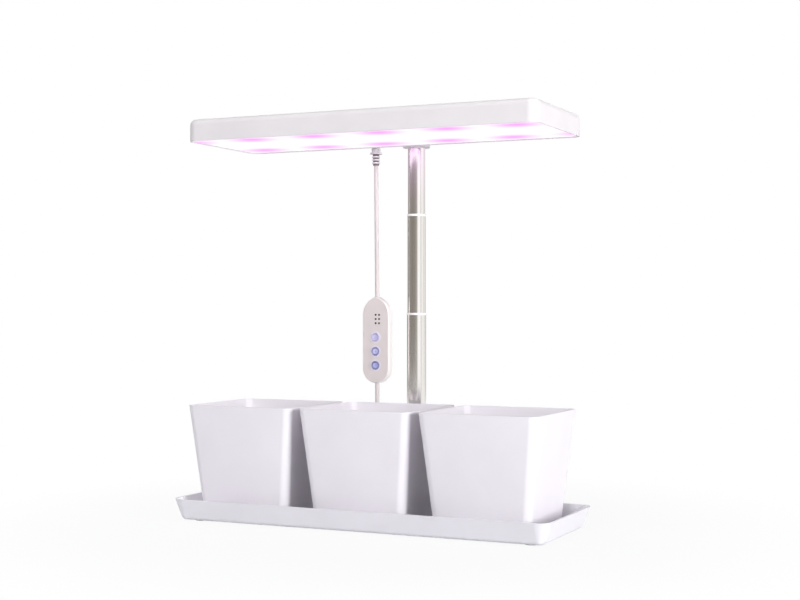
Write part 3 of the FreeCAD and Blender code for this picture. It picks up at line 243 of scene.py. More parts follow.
def glowing_tube():
    """The same steel with the lamp's pink light on its top few centimetres."""
    material = metal("polished_steel_under_lamp", *mast_look)
    shader = material.node_tree.nodes["Principled BSDF"]
    place = add_node(material, "ShaderNodeTexCoord").outputs["Object"]
    axes = add_node(material, "ShaderNodeSeparateXYZ", links={"Vector": place})
    under = add_node(
        material, "ShaderNodeMapRange", {"From Min": cast_low, "From Max": cast_high},
        {"Value": axes.outputs["Z"]},
    )
    cast = add_node(material, "ShaderNodeValToRGB", links={"Fac": under.outputs["Result"]})
    cast.color_ramp.elements[0].color = linear("000000")
    cast.color_ramp.elements[1].color = linear("6c4b6e")
    for position, shade in cast_shades:
        cast.color_ramp.elements.new(position).color = linear(shade)
    material.node_tree.links.new(cast.outputs["Color"], shader.inputs["Emission Color"])
    shader.inputs["Emission Strength"].default_value = 1.0
    return material


tube_under_lamp = glowing_tube()
finishes["screw_steel"] = metal("zinc_plated_steel", "a9aaae", "97989c", 0.32, grain=0.8)
finishes["plug_alloy"] = metal("turned_aluminium", "b9babd", "adaeb1", 0.3, (1, 1, 0.2))
finishes["plug_steel"] = metal("nickel_plated_steel", "b7b7ba", "ababad", 0.24, grain=0.6)
finishes["board_aluminium"] = moulded("white_coated_board", "f0f0f1", "e8e8ea", 0.35)
print("metals ready:", finishes["mast_steel"].name)

# %% [markdown]
# ## The lit diffuser
#
# The sheet under the lamp is opal acrylic with twenty emitters behind it, ten white and ten
# red, in two rows. The opal spreads each emitter into a soft spot: the white ones run
# together and the red ones stay as magenta clouds. The glow is painted where the light
# really is, from the sheet's own coordinates. The distance to the nearest red emitter is
# worked out for each row with a wrap, because the spots repeat every 70.5 mm. The sheet's
# base colour is dark, because a pale one would add the studio's light to the glow and clip.

# %% The diffuser's glow
row_front_y, row_rear_y = -55.6 * MM, 32.4 * MM
red_step = 70.5 * MM
red_front_x, red_rear_x = 17.625 * MM, -17.625 * MM
spot_long, spot_wide = 22 * MM, 16 * MM


def red_spots(material, x, y, first_x, row_y):
    """Brightness of one row of spots: 1 over an emitter, falling off smoothly."""
    across = add_node(
        material, "ShaderNodeMath", {1: first_x + red_step / 2, 2: first_x - red_step / 2},
        {0: x}, operation="WRAP",
    )
    squares = []
    for source, middle, reach in ((across.outputs[0], first_x, spot_long), (y, row_y, spot_wide)):
        off = add_node(material, "ShaderNodeMath", {1: middle}, {0: source}, operation="SUBTRACT")
        share = add_node(
            material, "ShaderNodeMath", {1: reach}, {0: off.outputs[0]}, operation="DIVIDE",
        )
        square = add_node(
            material, "ShaderNodeMath", {1: 2.0}, {0: share.outputs[0]}, operation="POWER",
        )
        squares.append(square.outputs[0])
    far = add_node(
        material, "ShaderNodeMath", links={0: squares[0], 1: squares[1]}, operation="ADD",
    )
    turned = add_node(
        material, "ShaderNodeMath", {1: -1.0}, {0: far.outputs[0]}, operation="MULTIPLY",
    )
    return add_node(
        material, "ShaderNodeMath", links={0: turned.outputs[0]}, operation="EXPONENT",
    ).outputs[0]


opal, opal_shader = start_material("opal_acrylic_lit", 0.55, 1.49)
opal_place = add_node(opal, "ShaderNodeTexCoord").outputs["Object"]
opal_axes = add_node(opal, "ShaderNodeSeparateXYZ", links={"Vector": opal_place})
x_out, y_out = opal_axes.outputs["X"], opal_axes.outputs["Y"]
front_spots = red_spots(opal, x_out, y_out, red_front_x, row_front_y)
rear_spots = red_spots(opal, x_out, y_out, red_rear_x, row_rear_y)
all_spots = add_node(
    opal, "ShaderNodeMath", links={0: front_spots, 1: rear_spots}, operation="ADD", use_clamp=True,
)
glow = add_node(opal, "ShaderNodeMix", data_type="RGBA", links={0: all_spots.outputs[0]})
glow.inputs[6].default_value = linear("fffbff")
glow.inputs[7].default_value = linear("f79cf8")
opal.node_tree.links.new(glow.outputs[2], opal_shader.inputs["Emission Color"])
opal_shader.inputs["Base Color"].default_value = linear("4a434d")
opal_shader.inputs["Specular IOR Level"].default_value = 0.15
opal_shader.inputs["Emission Strength"].default_value = 1.0
finishes["opal_plastic"] = opal
print("diffuser spots every", round(red_step * 1000, 1), "mm")

# %% [markdown]
# ## Emitters
#
# Behind the opal, each emitter is a small package with a coloured gel in its middle. They
# are only seen if the lamp is taken apart, but they still get a lit finish of their own.

# %% Emitter finishes
def emitter(name, gel, rim, strength):
    """A lit gel with a paler mottled rim."""
    material, shader = start_material(name, 0.3, 1.5)
    place = add_node(material, "ShaderNodeTexCoord").outputs["Object"]
    cells = add_node(
        material, "ShaderNodeTexVoronoi", {"Scale": 1 / (1.2 * MM)}, {"Vector": place},
    )
    shades = add_node(material, "ShaderNodeValToRGB", links={"Fac": cells.outputs["Distance"]})
    shades.color_ramp.elements[0].color = linear(gel)
    shades.color_ramp.elements[1].color = linear(rim)
    material.node_tree.links.new(shades.outputs["Color"], shader.inputs["Base Color"])
    material.node_tree.links.new(shades.outputs["Color"], shader.inputs["Emission Color"])
    shader.inputs["Emission Strength"].default_value = strength
    return material


finishes["white_emitter"] = emitter("phosphor_emitter", "fff3b8", "fff9e2", 1.0)
finishes["red_emitter"] = emitter("red_emitter", "ff3f8e", "ffa9cf", 1.0)
print("emitters lit")

# %% [markdown]
# ## The controller's face, buttons and lenses
#
# The face panel is a thin warm-grey sheet, matt. Each button is milky silicone over a blue
# lamp, so it glows lilac: a pale middle, a darker ring near its edge, and a soft halo on the
# panel round it. The three buttons are 14.75 mm apart, so one pattern that wraps at that
# step paints the halo for all of them. The upper button is the faintest one.

# %% Face panel with halos
button_x = -40.7 * MM
button_heights = {"timer": 183.6 * MM, "dimmer": 168.85 * MM, "power": 154.1 * MM}
button_step = 14.75 * MM
button_radius = 4.6 * MM
halo_radius = 7.3 * MM
halo_low, halo_high = 146.8 * MM, 190.9 * MM


def ring_distance(material):
    """Distance from the nearest button's middle, seen from the front."""
    place = add_node(material, "ShaderNodeTexCoord").outputs["Object"]
    axes = add_node(material, "ShaderNodeSeparateXYZ", links={"Vector": place})
    middle = button_heights["dimmer"]
    wrapped = add_node(
        material, "ShaderNodeMath", {1: middle + button_step / 2, 2: middle - button_step / 2},
        {0: axes.outputs["Z"]}, operation="WRAP",
    )
    up = add_node(
        material, "ShaderNodeMath", {1: middle}, {0: wrapped.outputs[0]}, operation="SUBTRACT",
    )
    side = add_node(
        material, "ShaderNodeMath", {1: button_x}, {0: axes.outputs["X"]}, operation="SUBTRACT",
    )
    flat = add_node(material, "ShaderNodeCombineXYZ", links={0: side.outputs[0], 1: up.outputs[0]})
    far = add_node(
        material, "ShaderNodeVectorMath", links={0: flat.outputs[0]}, operation="LENGTH",
    )
    return axes, far.outputs["Value"]


def face_panel():
    """The panel's finish, with the lit buttons' glow painted as a paler ring round each button."""
    material = moulded("frosted_face_panel", "e4dcda", "dfd7d5", 0.55, grain=0.25, mottle=20)
    shader = material.node_tree.nodes["Principled BSDF"]
    base = shader.inputs["Base Color"].links[0].from_socket
    axes, far = ring_distance(material)
    near = add_node(
        material, "ShaderNodeMapRange",
        {"From Min": button_radius, "From Max": halo_radius, "To Min": 1.0, "To Max": 0.0},
        {"Value": far}, interpolation_type="SMOOTHSTEP",
    )
    low = add_node(
        material, "ShaderNodeMath", {1: halo_high}, {0: axes.outputs["Z"]}, operation="LESS_THAN",
    )
    high = add_node(
        material, "ShaderNodeMath", {1: halo_low}, {0: axes.outputs["Z"]}, operation="GREATER_THAN",
    )
    within = add_node(
        material, "ShaderNodeMath", links={0: low.outputs[0], 1: high.outputs[0]},
        operation="MULTIPLY",
    )
    halo = add_node(
        material, "ShaderNodeMath", links={0: near.outputs["Result"], 1: within.outputs[0]},
        operation="MULTIPLY",
    )
    tint = add_node(
        material, "ShaderNodeMix", data_type="RGBA", links={0: halo.outputs[0], 6: base},
    )
    # Painted glow: the lit buttons' light on the panel, as a pale lilac ring
    tint.inputs[7].default_value = linear("ebe9f7")
    material.node_tree.links.new(tint.outputs[2], shader.inputs["Base Color"])
    return material


finishes["face_plastic"] = face_panel()
print("halo step", round(button_step * 1000, 2), "mm")

# %% Button and lens finishes
def lit_button(name, core, middle, ring, edge, strength):
    """Milky silicone: colour goes from the core to the edge in rings."""
    material, shader = start_material(name, 0.32, 1.42)
    axes, far = ring_distance(material)
    share = add_node(
        material, "ShaderNodeMath", {1: button_radius}, {0: far}, operation="DIVIDE",
        use_clamp=True,
    )
    rings = add_node(material, "ShaderNodeValToRGB", links={"Fac": share.outputs[0]})
    ramp = rings.color_ramp
    ramp.elements[0].color = linear(core)
    ramp.elements[0].position = 0.0
    ramp.elements[1].color = linear(edge)
    ramp.elements[1].position = 1.0
    for position, colour in ((0.22, middle), (0.52, middle), (0.72, ring), (0.9, ring)):
        ramp.elements.new(position).color = linear(colour)
    material.node_tree.links.new(rings.outputs["Color"], shader.inputs["Base Color"])
    material.node_tree.links.new(rings.outputs["Color"], shader.inputs["Emission Color"])
    shader.inputs["Emission Strength"].default_value = strength
    return material


button_finishes = {
    "timer": lit_button("silicone_button_faint", "bdbbe0", "c8c6e8", "b7afd0", "cdc6de", 0.08),
    "dimmer": lit_button("silicone_button_ring", "7c7fb8", "c9ccf2", "8280a8", "a8a3c4", 0.08),
    "power": lit_button("silicone_button_lit", "979bd2", "b3b7e8", "77769f", "9a98bf", 0.08),
}
finishes["button_plastic"] = button_finishes["dimmer"]
finishes["lens_plastic"] = moulded("smoked_lens", "4a4346", "383235", 0.2, grain=0.3)
print(len(button_finishes), "button finishes")

# %% [markdown]
# ## Finishes on the loaded pieces
#
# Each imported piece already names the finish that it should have. The loop looks the name up
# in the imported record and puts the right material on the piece. The buttons get one each.

# %% Dress the loaded pieces
slots = {part["node"]: part["material_slot"] for part in frame["record"]["subparts"]}
for node_name, slot_name in slots.items():
    mesh = nodes[node_name].data
    mesh.materials.clear()
    mesh.materials.append(finishes[slot_name])
for key, finish in button_finishes.items():
    nodes["button_" + key].data.materials[0] = finish
nodes["mast_tube_top"].data.materials[0] = tube_under_lamp
print(len(slots), "pieces dressed")

# %% [markdown]
# ## The cord
#
# A 4.5 mm low-voltage cord hangs from the lamp to the controller and goes on down to the table,
# where what the photograph doesn't show lies in a coil behind the tray, with a plug on its end. The
# hanging lengths carry the controller's weight, so they are straight, and lean a little, because
# the controller hangs a touch to the right of where the cord leaves the lamp. The mast telescopes.
#
# A cord is one smooth curve, so it is drawn as a NURBS spline with the route's points as its
# control points, and a round tube follows it. The order is set after the points are
# added, because before that the spline has too few of them to accept it.

# %% Cord helpers
cord_diameter = 4.5 * MM
cord_x, cord_y = -41.5 * MM, 62.9 * MM
gland_x = -42.3 * MM
controller_cord_x = -40.9 * MM


def cord_curve(name, points):
    """A NURBS spline with the given control points."""
    curve = bpy.data.curves.new(name, "CURVE")
    curve.dimensions = "3D"
    curve.resolution_u = 8
    spline = curve.splines.new("NURBS")
    spline.points.add(len(points) - 1)
    for control, place in zip(spline.points, points):
        control.co = (*place, 1)
    spline.order_u = 3
    spline.use_endpoint_u = True
    return bpy.data.objects.new(name, curve)


def cord_tube(name, points):
    """A tube along the spline, and the points that it follows."""
    line = cord_curve(name + "_line", points)
    thin = bpy.data.meshes.new_from_object(line)
    path = [tuple(vertex.co) for vertex in thin.vertices]
    line.data.bevel_depth = cord_diameter / 2
    line.data.bevel_resolution = 5
    line.data.use_fill_caps = True
    tube = bpy.data.objects.new(name, bpy.data.meshes.new_from_object(line))
    scene.collection.objects.link(tube)
    bpy.data.objects.remove(line)
    tube.data.materials.clear()
    tube.data.materials.append(finishes["cord_sheath"])
    for polygon in tube.data.polygons:
        polygon.use_smooth = len(polygon.vertices) == 4
    length = sum((Vector(a) - Vector(b)).length for a, b in zip(path, path[1:]))
    return tube, path, length


print("cord diameter", round(cord_diameter * 1000, 2), "mm")

# %% The four hanging lengths
boot_end, upper_join, case_top = 364.6 * MM, 290 * MM, 226 * MM
case_foot, lower_join, bend_start = 135.4 * MM, 90.5 * MM, 26 * MM


def cord_across(height):
    """The cord leans: it leaves the lamp 1.4 mm further left than it meets the controller."""
    share = min(1.0, max(0.0, (boot_end - height) / (boot_end - case_top)))
    return gland_x + (controller_cord_x - gland_x) * share


# Node, top, bottom, body, joint that shortens it, end that stays, share of the length kept
hanging = (
    ("cord_upper_top", boot_end, upper_join, "mast_middle", "lamp_slide", upper_join, 0.0885),
    ("cord_upper_low", upper_join, case_top, "mast_middle", "mast_middle_slide", upper_join, 0.1),
    ("cord_lower_top", case_foot, lower_join, "mast_lower", "controller_hang", lower_join, 0.1448),
    ("cord_lower_low", lower_join, bend_start, "stand", "mast_lower_slide", bend_start, 0.1008),
)
for node_name, top, bottom, body, joint, anchor, keep in hanging:
    heights = [top + (bottom - top) * i / 3 for i in range(4)]
    route = [(cord_across(height), cord_y, height) for height in heights]
    tube, path, length = cord_tube(node_name.replace("cord_", "hanging_cord_"), route)
    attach(tube, body)
    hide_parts(node_name)
    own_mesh(tube)
    print(tube.name, "length", round(length * 1000, 1), "mm")

# %% [markdown]
# ## The coil and the plug's lead
#
# The rest of the cord bends onto the table, winds into a neat coil of four layers and ends
# in its plug. The coil's turns are points of the same spline, worked out in a loop: the
# radius swings in and out by one cord's width a turn, and the line climbs one layer where
# the swing reverses. Twenty-four points a turn keep the spline close to the real circle.

# %% The laid cord
coil_x, coil_y = -92 * MM, 82.9 * MM
coil_radius, coil_pitch = 23 * MM, 5.0 * MM
coil_floor = 0.7 * MM
coil_layers, layer_turns = 4, 1.875
points_per_turn = 24
plug_y, plug_z = 111 * MM, 4 * MM


def coil_point(turn):
    """The coil's line after a number of turns."""
    layer = min(int(turn / layer_turns), coil_layers - 1)
    share = turn / layer_turns - layer - 0.5
    swing = share if layer % 2 else -share
    radius = coil_radius + swing * layer_turns * coil_pitch
    climbs = 0.0
    for step in range(1, coil_layers):
        part = min(1.0, max(0.0, 2 * (turn - step * layer_turns) + 0.5))
        climbs += part * part * (3 - 2 * part)
    angle = -math.pi / 2 - 2 * math.pi * turn
    return Vector((
        coil_x + radius * math.cos(angle),
        coil_y + radius * math.sin(angle),
        cord_diameter / 2 + coil_floor + climbs * coil_pitch,
    ))


turns = coil_layers * layer_turns
tiny_turn = 0.001
enter_way = (coil_point(tiny_turn) - coil_point(0)).normalized()
leave_way = (coil_point(turns) - coil_point(turns - tiny_turn)).normalized()
enter = coil_point(0) - enter_way * cord_diameter
leave = coil_point(turns) + leave_way * cord_diameter
route = [
    (controller_cord_x, cord_y, bend_start),
    (-41.1 * MM, cord_y, 16.5 * MM),
    (cord_x - 5.2 * MM, cord_y - 0.3 * MM, 7.5 * MM),
    (cord_x - 14.2 * MM, cord_y - 1.4 * MM, cord_diameter / 2),
    tuple(enter - enter_way * 13 * MM),
    tuple(enter),
]
steps = round(turns * points_per_turn)
route += [tuple(coil_point(turns * i / steps)) for i in range(steps + 1)]
route += [
    tuple(leave),
    tuple(leave + leave_way * 12 * MM),
    (-58 * MM, 111.7 * MM, 9.6 * MM),
    (-41 * MM, plug_y, plug_z),
    (-24 * MM, plug_y, plug_z),
]
laid_cord, laid_path, laid_length = cord_tube("laid_cord", route)
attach(laid_cord, "stand")
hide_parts("cord_bend", "cord_coil", "cord_tail")
print("laid cord", round(laid_length, 3), "m,", len(laid_cord.data.polygons), "faces")

# %% [markdown]
# ## Helpers for modelling by hand
#
# The new pieces are modelled with the same operators that a hand would use. Everything is
# deselected first, because the loaded pieces come in selected. Faces and edges are picked
# by where they are, and a piece's place is applied to its mesh.

# %% Modelling helpers
def clear_selection():
    """Leaves edit mode and deselects everything."""
    if bpy.context.object and bpy.context.object.mode != "OBJECT":
        bpy.ops.object.mode_set(mode="OBJECT")
    bpy.ops.object.select_all(action="DESELECT")


def pick(piece, kind, test):
    """Selects only the faces or edges for which the test holds, in edit mode."""
    bpy.ops.object.mode_set(mode="EDIT")
    bpy.ops.mesh.select_mode(type=kind)
    bpy.ops.mesh.select_all(action="DESELECT")
    bpy.ops.object.mode_set(mode="OBJECT")
    mesh = piece.data
    for item in {"FACE": mesh.polygons, "EDGE": mesh.edges}[kind]:
        item.select = bool(test(item))
    bpy.ops.object.mode_set(mode="EDIT")


def apply_place(piece):
    """Moves the object's place, turn and scale into its mesh."""
    clear_selection()
    piece.select_set(True)
    bpy.context.view_layer.objects.active = piece
    bpy.ops.object.transform_apply(location=True, rotation=True, scale=True)


def apply_modifier(piece, kind, **settings):
    """Adds a modifier with its settings and applies it."""
    clear_selection()
    piece.select_set(True)
    bpy.context.view_layer.objects.active = piece
    modifier = piece.modifiers.new(kind.lower(), kind)
    for name, setting in settings.items():
        setattr(modifier, name, setting)
    bpy.ops.object.modifier_apply(modifier=modifier.name)


def finish_piece(piece, body, finish, smooth_angle=30):
    """Smooth shading below an angle, a material and a body to ride on."""
    clear_selection()
    piece.select_set(True)
    bpy.context.view_layer.objects.active = piece
    bpy.ops.object.mode_set(mode="EDIT")
    bpy.ops.mesh.select_all(action="SELECT")
    bpy.ops.mesh.normals_make_consistent(inside=False)
    bpy.ops.object.mode_set(mode="OBJECT")
    bpy.ops.object.shade_smooth_by_angle(angle=math.radians(smooth_angle))
    piece.data.materials.clear()
    piece.data.materials.append(finish)
    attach(piece, body)
    print(piece.name, len(piece.data.polygons), "faces on", body)


print("helpers ready")

# %% [markdown]
# ## The pots
#
# A pot is a square cup that narrows to its foot, with soft corners, a thin wall and a small
# rounded rim that catches the light. Five drain holes go through its floor. It starts as a
# cube: the bottom face is drawn in, the four upright edges are bevelled, the top is opened,
# and a solidify modifier gives the wall its thickness. A bevel on the sharp edges at the rim
# and the foot is what makes it look moulded. One pot is made, and the others are copies.

# %% One pot
pot_x = {"left": -126.7 * MM, "middle": 0.0, "right": 126.7 * MM}
pot_y = -19.1 * MM
pot_low, pot_high = 5.5 * MM, 116.5 * MM
pot_top, pot_bottom = 119.1 * MM, 96.7 * MM
pot_wall, pot_corner = 2.2 * MM, 8.5 * MM
hole_reach, hole_radius = 26 * MM, 4 * MM


def make_pot():
    """A tapered cup with round corners and no wall thickness yet."""
    clear_selection()
    bpy.ops.mesh.primitive_cube_add(
        size=1, location=(0, pot_y, (pot_low + pot_high) / 2),
        scale=(pot_top, pot_top, pot_high - pot_low),
    )
    pot = bpy.context.object
    pot.name = "moulded_pot_middle"
    apply_place(pot)
    pick(pot, "FACE", lambda face: face.normal.z < -0.5)
    shrink = pot_bottom / pot_top
    bpy.ops.transform.resize(
        value=(shrink, shrink, 1), center_override=(0, pot_y, pot_low), orient_type="GLOBAL",
    )
    points = pot.data.vertices
    pick(pot, "EDGE", lambda edge: abs(
        points[edge.vertices[0]].co.z - points[edge.vertices[1]].co.z) > 0.05)
    bpy.ops.mesh.bevel(offset=pot_corner, segments=10, affect="EDGES")
    pick(pot, "FACE", lambda face: face.normal.z > 0.9)
    bpy.ops.mesh.delete(type="FACE")
    bpy.ops.object.mode_set(mode="OBJECT")
    return pot


pot_middle = make_pot()
print("pot cup:", len(pot_middle.data.polygons), "faces")

# %% Wall, drain holes and softened edges of the pot
def open_drain_holes(pot):
    """Cuts the five drain holes through the floor."""
    places = [(0, pot_y)] + [
        (hole_reach * math.cos(math.radians(a)), pot_y + hole_reach * math.sin(math.radians(a)))
        for a in (45, 135, 225, 315)
    ]
    for x, y in places:
        clear_selection()
        bpy.ops.mesh.primitive_cylinder_add(
            vertices=32, radius=hole_radius, depth=20 * MM, location=(x, y, pot_low),
        )
        cutter = bpy.context.object
        apply_modifier(pot, "BOOLEAN", operation="DIFFERENCE", solver="EXACT", object=cutter)
        bpy.data.objects.remove(cutter)


apply_modifier(pot_middle, "SOLIDIFY", thickness=pot_wall, offset=-1, use_even_offset=True)
open_drain_holes(pot_middle)
apply_modifier(
    pot_middle, "BEVEL", width=0.9 * MM, segments=3, limit_method="ANGLE",
    angle_limit=math.radians(50),
)
print("finished pot:", len(pot_middle.data.polygons), "faces")

# %% Three pots
def copy_piece(piece, name, shift):
    """A copy with its own mesh, moved in the mesh."""
    twin = piece.copy()
    twin.data = piece.data.copy()
    twin.name = name
    scene.collection.objects.link(twin)
    for vertex in twin.data.vertices:
        vertex.co += Vector(shift)
    return twin


pots = {
    "left": copy_piece(pot_middle, "moulded_pot_left", (pot_x["left"], 0, 0)),
    "middle": pot_middle,
    "right": copy_piece(pot_middle, "moulded_pot_right", (pot_x["right"], 0, 0)),
}
for side, pot in pots.items():
    finish_piece(pot, side + "_pot", finishes["pot_plastic"])
    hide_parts("pot_" + side)

# %% [markdown]
# ## Turned pieces
#
# Round pieces such as the buttons and the cord's strain relief are built up ring by ring: a
# disc is added, and its face is extruded along the axis and scaled for each step of a
# profile. This is the same as turning the piece on a lathe, and it keeps the mesh closed.

# %% A helper for turned pieces
TURNS = {"x": (0, math.pi / 2, 0), "y": (math.pi / 2, 0, 0), "z": (0, 0, 0)}
WAYS = {"x": Vector((1, 0, 0)), "y": Vector((0, 1, 0)), "z": Vector((0, 0, 1))}


def turn_piece(name, axis, centre, profile, sides=48):
    """The profile is a list of places along the axis and radii, from one end to the other."""
    clear_selection()
    way = WAYS[axis]
    start = Vector(centre) + way * profile[0][0]
    bpy.ops.mesh.primitive_circle_add(
        vertices=sides, radius=profile[0][1], fill_type="NGON", location=start,
        rotation=TURNS[axis],
    )
    piece = bpy.context.object
    piece.name = name
    apply_place(piece)
    bpy.ops.object.mode_set(mode="EDIT")
    bpy.ops.mesh.select_mode(type="FACE")
    bpy.ops.mesh.select_all(action="SELECT")
    for (low, small), (high, large) in zip(profile, profile[1:]):
        bpy.ops.mesh.extrude_region_move(
            TRANSFORM_OT_translate={"value": tuple(way * (high - low)), "orient_type": "GLOBAL"},
        )
        if abs(large - small) > 1e-9:
            grow = large / small
            sizes = [1 if way[i] else grow for i in range(3)]
            here = Vector(centre) + way * high
            bpy.ops.transform.resize(value=sizes, center_override=here, orient_type="GLOBAL")
    bpy.ops.object.mode_set(mode="OBJECT")
    return piece


print("a turned piece follows its profile ring by ring")

# %% [markdown]
# ## Buttons
#
# Each button is a low silicone cap. Its edge is rounded, and its middle is a shallow dish
# with a fine raised lip, which the finger finds. The flange and the stem behind it, inside
# the case, press the switch.

# %% Three buttons
# Depth behind the front and radius, in millimetres
button_profile = [
    (1.0, 1.4), (0.85, 2.6), (0.55, 3.2), (0.25, 3.5), (0.05, 3.75), (0.0, 4.0),
    (0.08, 4.25), (0.25, 4.45), (0.5, 4.57), (0.8, 4.6),
]
for key, height in button_heights.items():
    low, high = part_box("button_" + key)
    profile = [(y * MM, r * MM) for y, r in button_profile]
    profile.append((high.y - low.y, button_radius))
    cap = turn_piece("lit_button_" + key, "y", (button_x, low.y, height), profile)
    finish_piece(cap, key + "_button", button_finishes[key])
    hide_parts("button_" + key)

# %% [markdown]
# ## The strap round the coil
#
# A woven hook-and-loop strap holds the coil's turns together on its left side. It is a loop
# with round corners and a second layer where its end is pressed down. A box with its two open
# sides taken off gives the loop, its four corners are bevelled round, and a solidify modifier
# gives the tape its thickness. A real weave's threads are about 0.5 mm apart, and they are
# drawn at 0.9 mm so that they show. A wave texture of scale 0.314 repeats once a metre.

# %% A woven finish for the strap
thread_scale = 0.314 / (0.9 * MM)


def woven_strap():
    """Two sets of threads that cross, raised and shaded."""
    material, shader = start_material("woven_nylon_strap", 0.75, 1.53)
    shader.inputs["Sheen Weight"].default_value = 0.3
    place = add_node(material, "ShaderNodeTexCoord").outputs["Object"]
    along = add_node(
        material, "ShaderNodeTexWave", {"Scale": thread_scale, "Distortion": 0.3},
        {"Vector": place}, bands_direction="Y",
    )
    tilted = add_node(
        material, "ShaderNodeMapping", {"Rotation": (0, math.radians(45), 0)}, {"Vector": place},
    )
    across = add_node(
        material, "ShaderNodeTexWave", {"Scale": thread_scale, "Distortion": 0.3},
        {"Vector": tilted.outputs["Vector"]}, bands_direction="X",
    )
    weave = add_node(
        material, "ShaderNodeMath", links={0: along.outputs["Fac"], 1: across.outputs["Fac"]},
        operation="MULTIPLY",
    )
    shades = add_node(material, "ShaderNodeValToRGB", links={"Fac": weave.outputs[0]})
    shades.color_ramp.elements[0].color = linear("b4b4bb")
    shades.color_ramp.elements[1].color = linear("d9d9df")
    shades.color_ramp.elements[1].position = 0.7
    threads = add_node(
        material, "ShaderNodeBump", {"Strength": 0.5, "Distance": 0.15 * MM},
        {"Height": weave.outputs[0]},
    )
    material.node_tree.links.new(shades.outputs["Color"], shader.inputs["Base Color"])
    material.node_tree.links.new(threads.outputs["Normal"], shader.inputs["Normal"])
    return material


strap_finish = woven_strap()
print("strap finish:", strap_finish.name)

# %% The strap and its pressed-down end
tape = 0.8 * MM


def strap_loop(name, low, high, corner, keep):
    """A loop of tape in the box from low to high, open along Y; keep picks its faces."""
    clear_selection()
    bpy.ops.mesh.primitive_cube_add(size=1, location=(low + high) / 2, scale=high - low)
    loop = bpy.context.object
    loop.name = name
    apply_place(loop)
    pick(loop, "FACE", lambda face: abs(face.normal.y) > 0.5)
    bpy.ops.mesh.delete(type="FACE")
    points = loop.data.vertices
    pick(loop, "EDGE", lambda edge: abs(
        points[edge.vertices[0]].co.y - points[edge.vertices[1]].co.y) > 1 * MM)
    bpy.ops.mesh.bevel(offset=corner, segments=8, affect="EDGES")
    pick(loop, "FACE", lambda face: not keep(face.center))
    bpy.ops.mesh.delete(type="FACE")
    bpy.ops.object.mode_set(mode="OBJECT")
    apply_modifier(loop, "SOLIDIFY", thickness=tape, offset=-1, use_even_offset=True)
    apply_modifier(
        loop, "BEVEL", width=0.2 * MM, segments=2, limit_method="ANGLE",
        angle_limit=math.radians(50),
    )
    return loop


tie_low, tie_high = (Vector(corner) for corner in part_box("coil_tie"))
inner_low = tie_low + Vector((tape, 0, 0))
inner_high = tie_high - Vector((0, 0, tape))
strap = strap_loop("coil_strap", inner_low, inner_high, 4.5 * MM, lambda place: True)
end_low = tie_low + Vector((0, 0.3, 0.2)) * MM
end_high = tie_high - Vector((0, 0.3, 0)) * MM
# The second layer covers the left side and the corner above it
strap_end = strap_loop(
    "strap_end", end_low, end_high, 5.0 * MM,
    lambda place: place.x < tie_low.x + 4.6 * MM and place.z > 5 * MM
    or place.z > tie_high.z - 4.6 * MM and place.x < tie_low.x + 9 * MM,
)
clear_selection()
strap_end.select_set(True)
strap.select_set(True)
bpy.context.view_layer.objects.active = strap
bpy.ops.object.join()
finish_piece(strap, "stand", strap_finish, smooth_angle=40)
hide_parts("coil_tie")

# %% [markdown]
# ## The relief on the plug
#
# The cord goes into the plug through a short soft sleeve. It is widest at the plug and tapers to
# little more than the cord, with shallow rings that let it flex.

# %% Tapered sleeve
# Place along X and radius, in millimetres
sleeve_section = [(-35.5, 2.3), (-35.3, 2.6)]
for ring in range(4):
    at, size = -34.6 + 2.6 * ring, 2.75 + 0.24 * ring
    sleeve_section += [
        (at, size), (at + 0.3, size + 0.12), (at + 1.4, size + 0.17), (at + 1.7, size + 0.05),
        (at + 1.9, size - 0.2), (at + 2.4, size - 0.17),
    ]
sleeve_section += [(-24.0, 3.6), (-23.6, 3.65)]
sleeve = turn_piece(
    "plug_sleeve", "x", (0, plug_y, plug_z), [(x * MM, r * MM) for x, r in sleeve_section],
)
finish_piece(sleeve, "stand", finishes["plug_plastic"], smooth_angle=50)

# %% [markdown]
# ## The strain relief on the lamp
#
# Under the elbow that brings the cord out of the lamp is a short soft boot with three ribs.
# It narrows towards the cord, so that the cord bends over a length and not at an edge. The ribs are
# thick and rounded and the valleys between them are thin. A ramp from the valley's radius to the
# rib's crest darkens the valleys with painted shade.

# %% Ribbed boot
valley_radius, crest_radius = 3.5 * MM, 4.0 * MM


def boot_finish():
    """Soft white vinyl with grey valleys of painted shade."""
    material = moulded("soft_vinyl_boot", "f4f1f1", "ece8e8", 0.45, grain=0.4)
    shader = material.node_tree.nodes["Principled BSDF"]
    base = shader.inputs["Base Color"].links[0].from_socket
    place = add_node(material, "ShaderNodeTexCoord").outputs["Object"]
    axes = add_node(material, "ShaderNodeSeparateXYZ", links={"Vector": place})
    side = add_node(
        material, "ShaderNodeMath", {1: gland_x}, {0: axes.outputs["X"]}, operation="SUBTRACT",
    )
    back = add_node(
        material, "ShaderNodeMath", {1: cord_y}, {0: axes.outputs["Y"]}, operation="SUBTRACT",
    )
    flat = add_node(
        material, "ShaderNodeCombineXYZ", links={0: side.outputs[0], 1: back.outputs[0]},
    )
    out = add_node(material, "ShaderNodeVectorMath", links={0: flat.outputs[0]}, operation="LENGTH")
    valley_shade = add_node(
        material, "ShaderNodeMapRange",
        {"From Min": valley_radius, "From Max": crest_radius, "To Min": 1.0, "To Max": 0.0},
        {"Value": out.outputs["Value"]},
    )
    tint = add_node(
        material, "ShaderNodeMix", data_type="RGBA", links={0: valley_shade.outputs["Result"], 6: base},
    )
    # Painted shade: grey at the valley floor, fading out towards the rib's crest
    tint.inputs[7].default_value = linear("7d7779")
    material.node_tree.links.new(tint.outputs[2], shader.inputs["Base Color"])
    return material


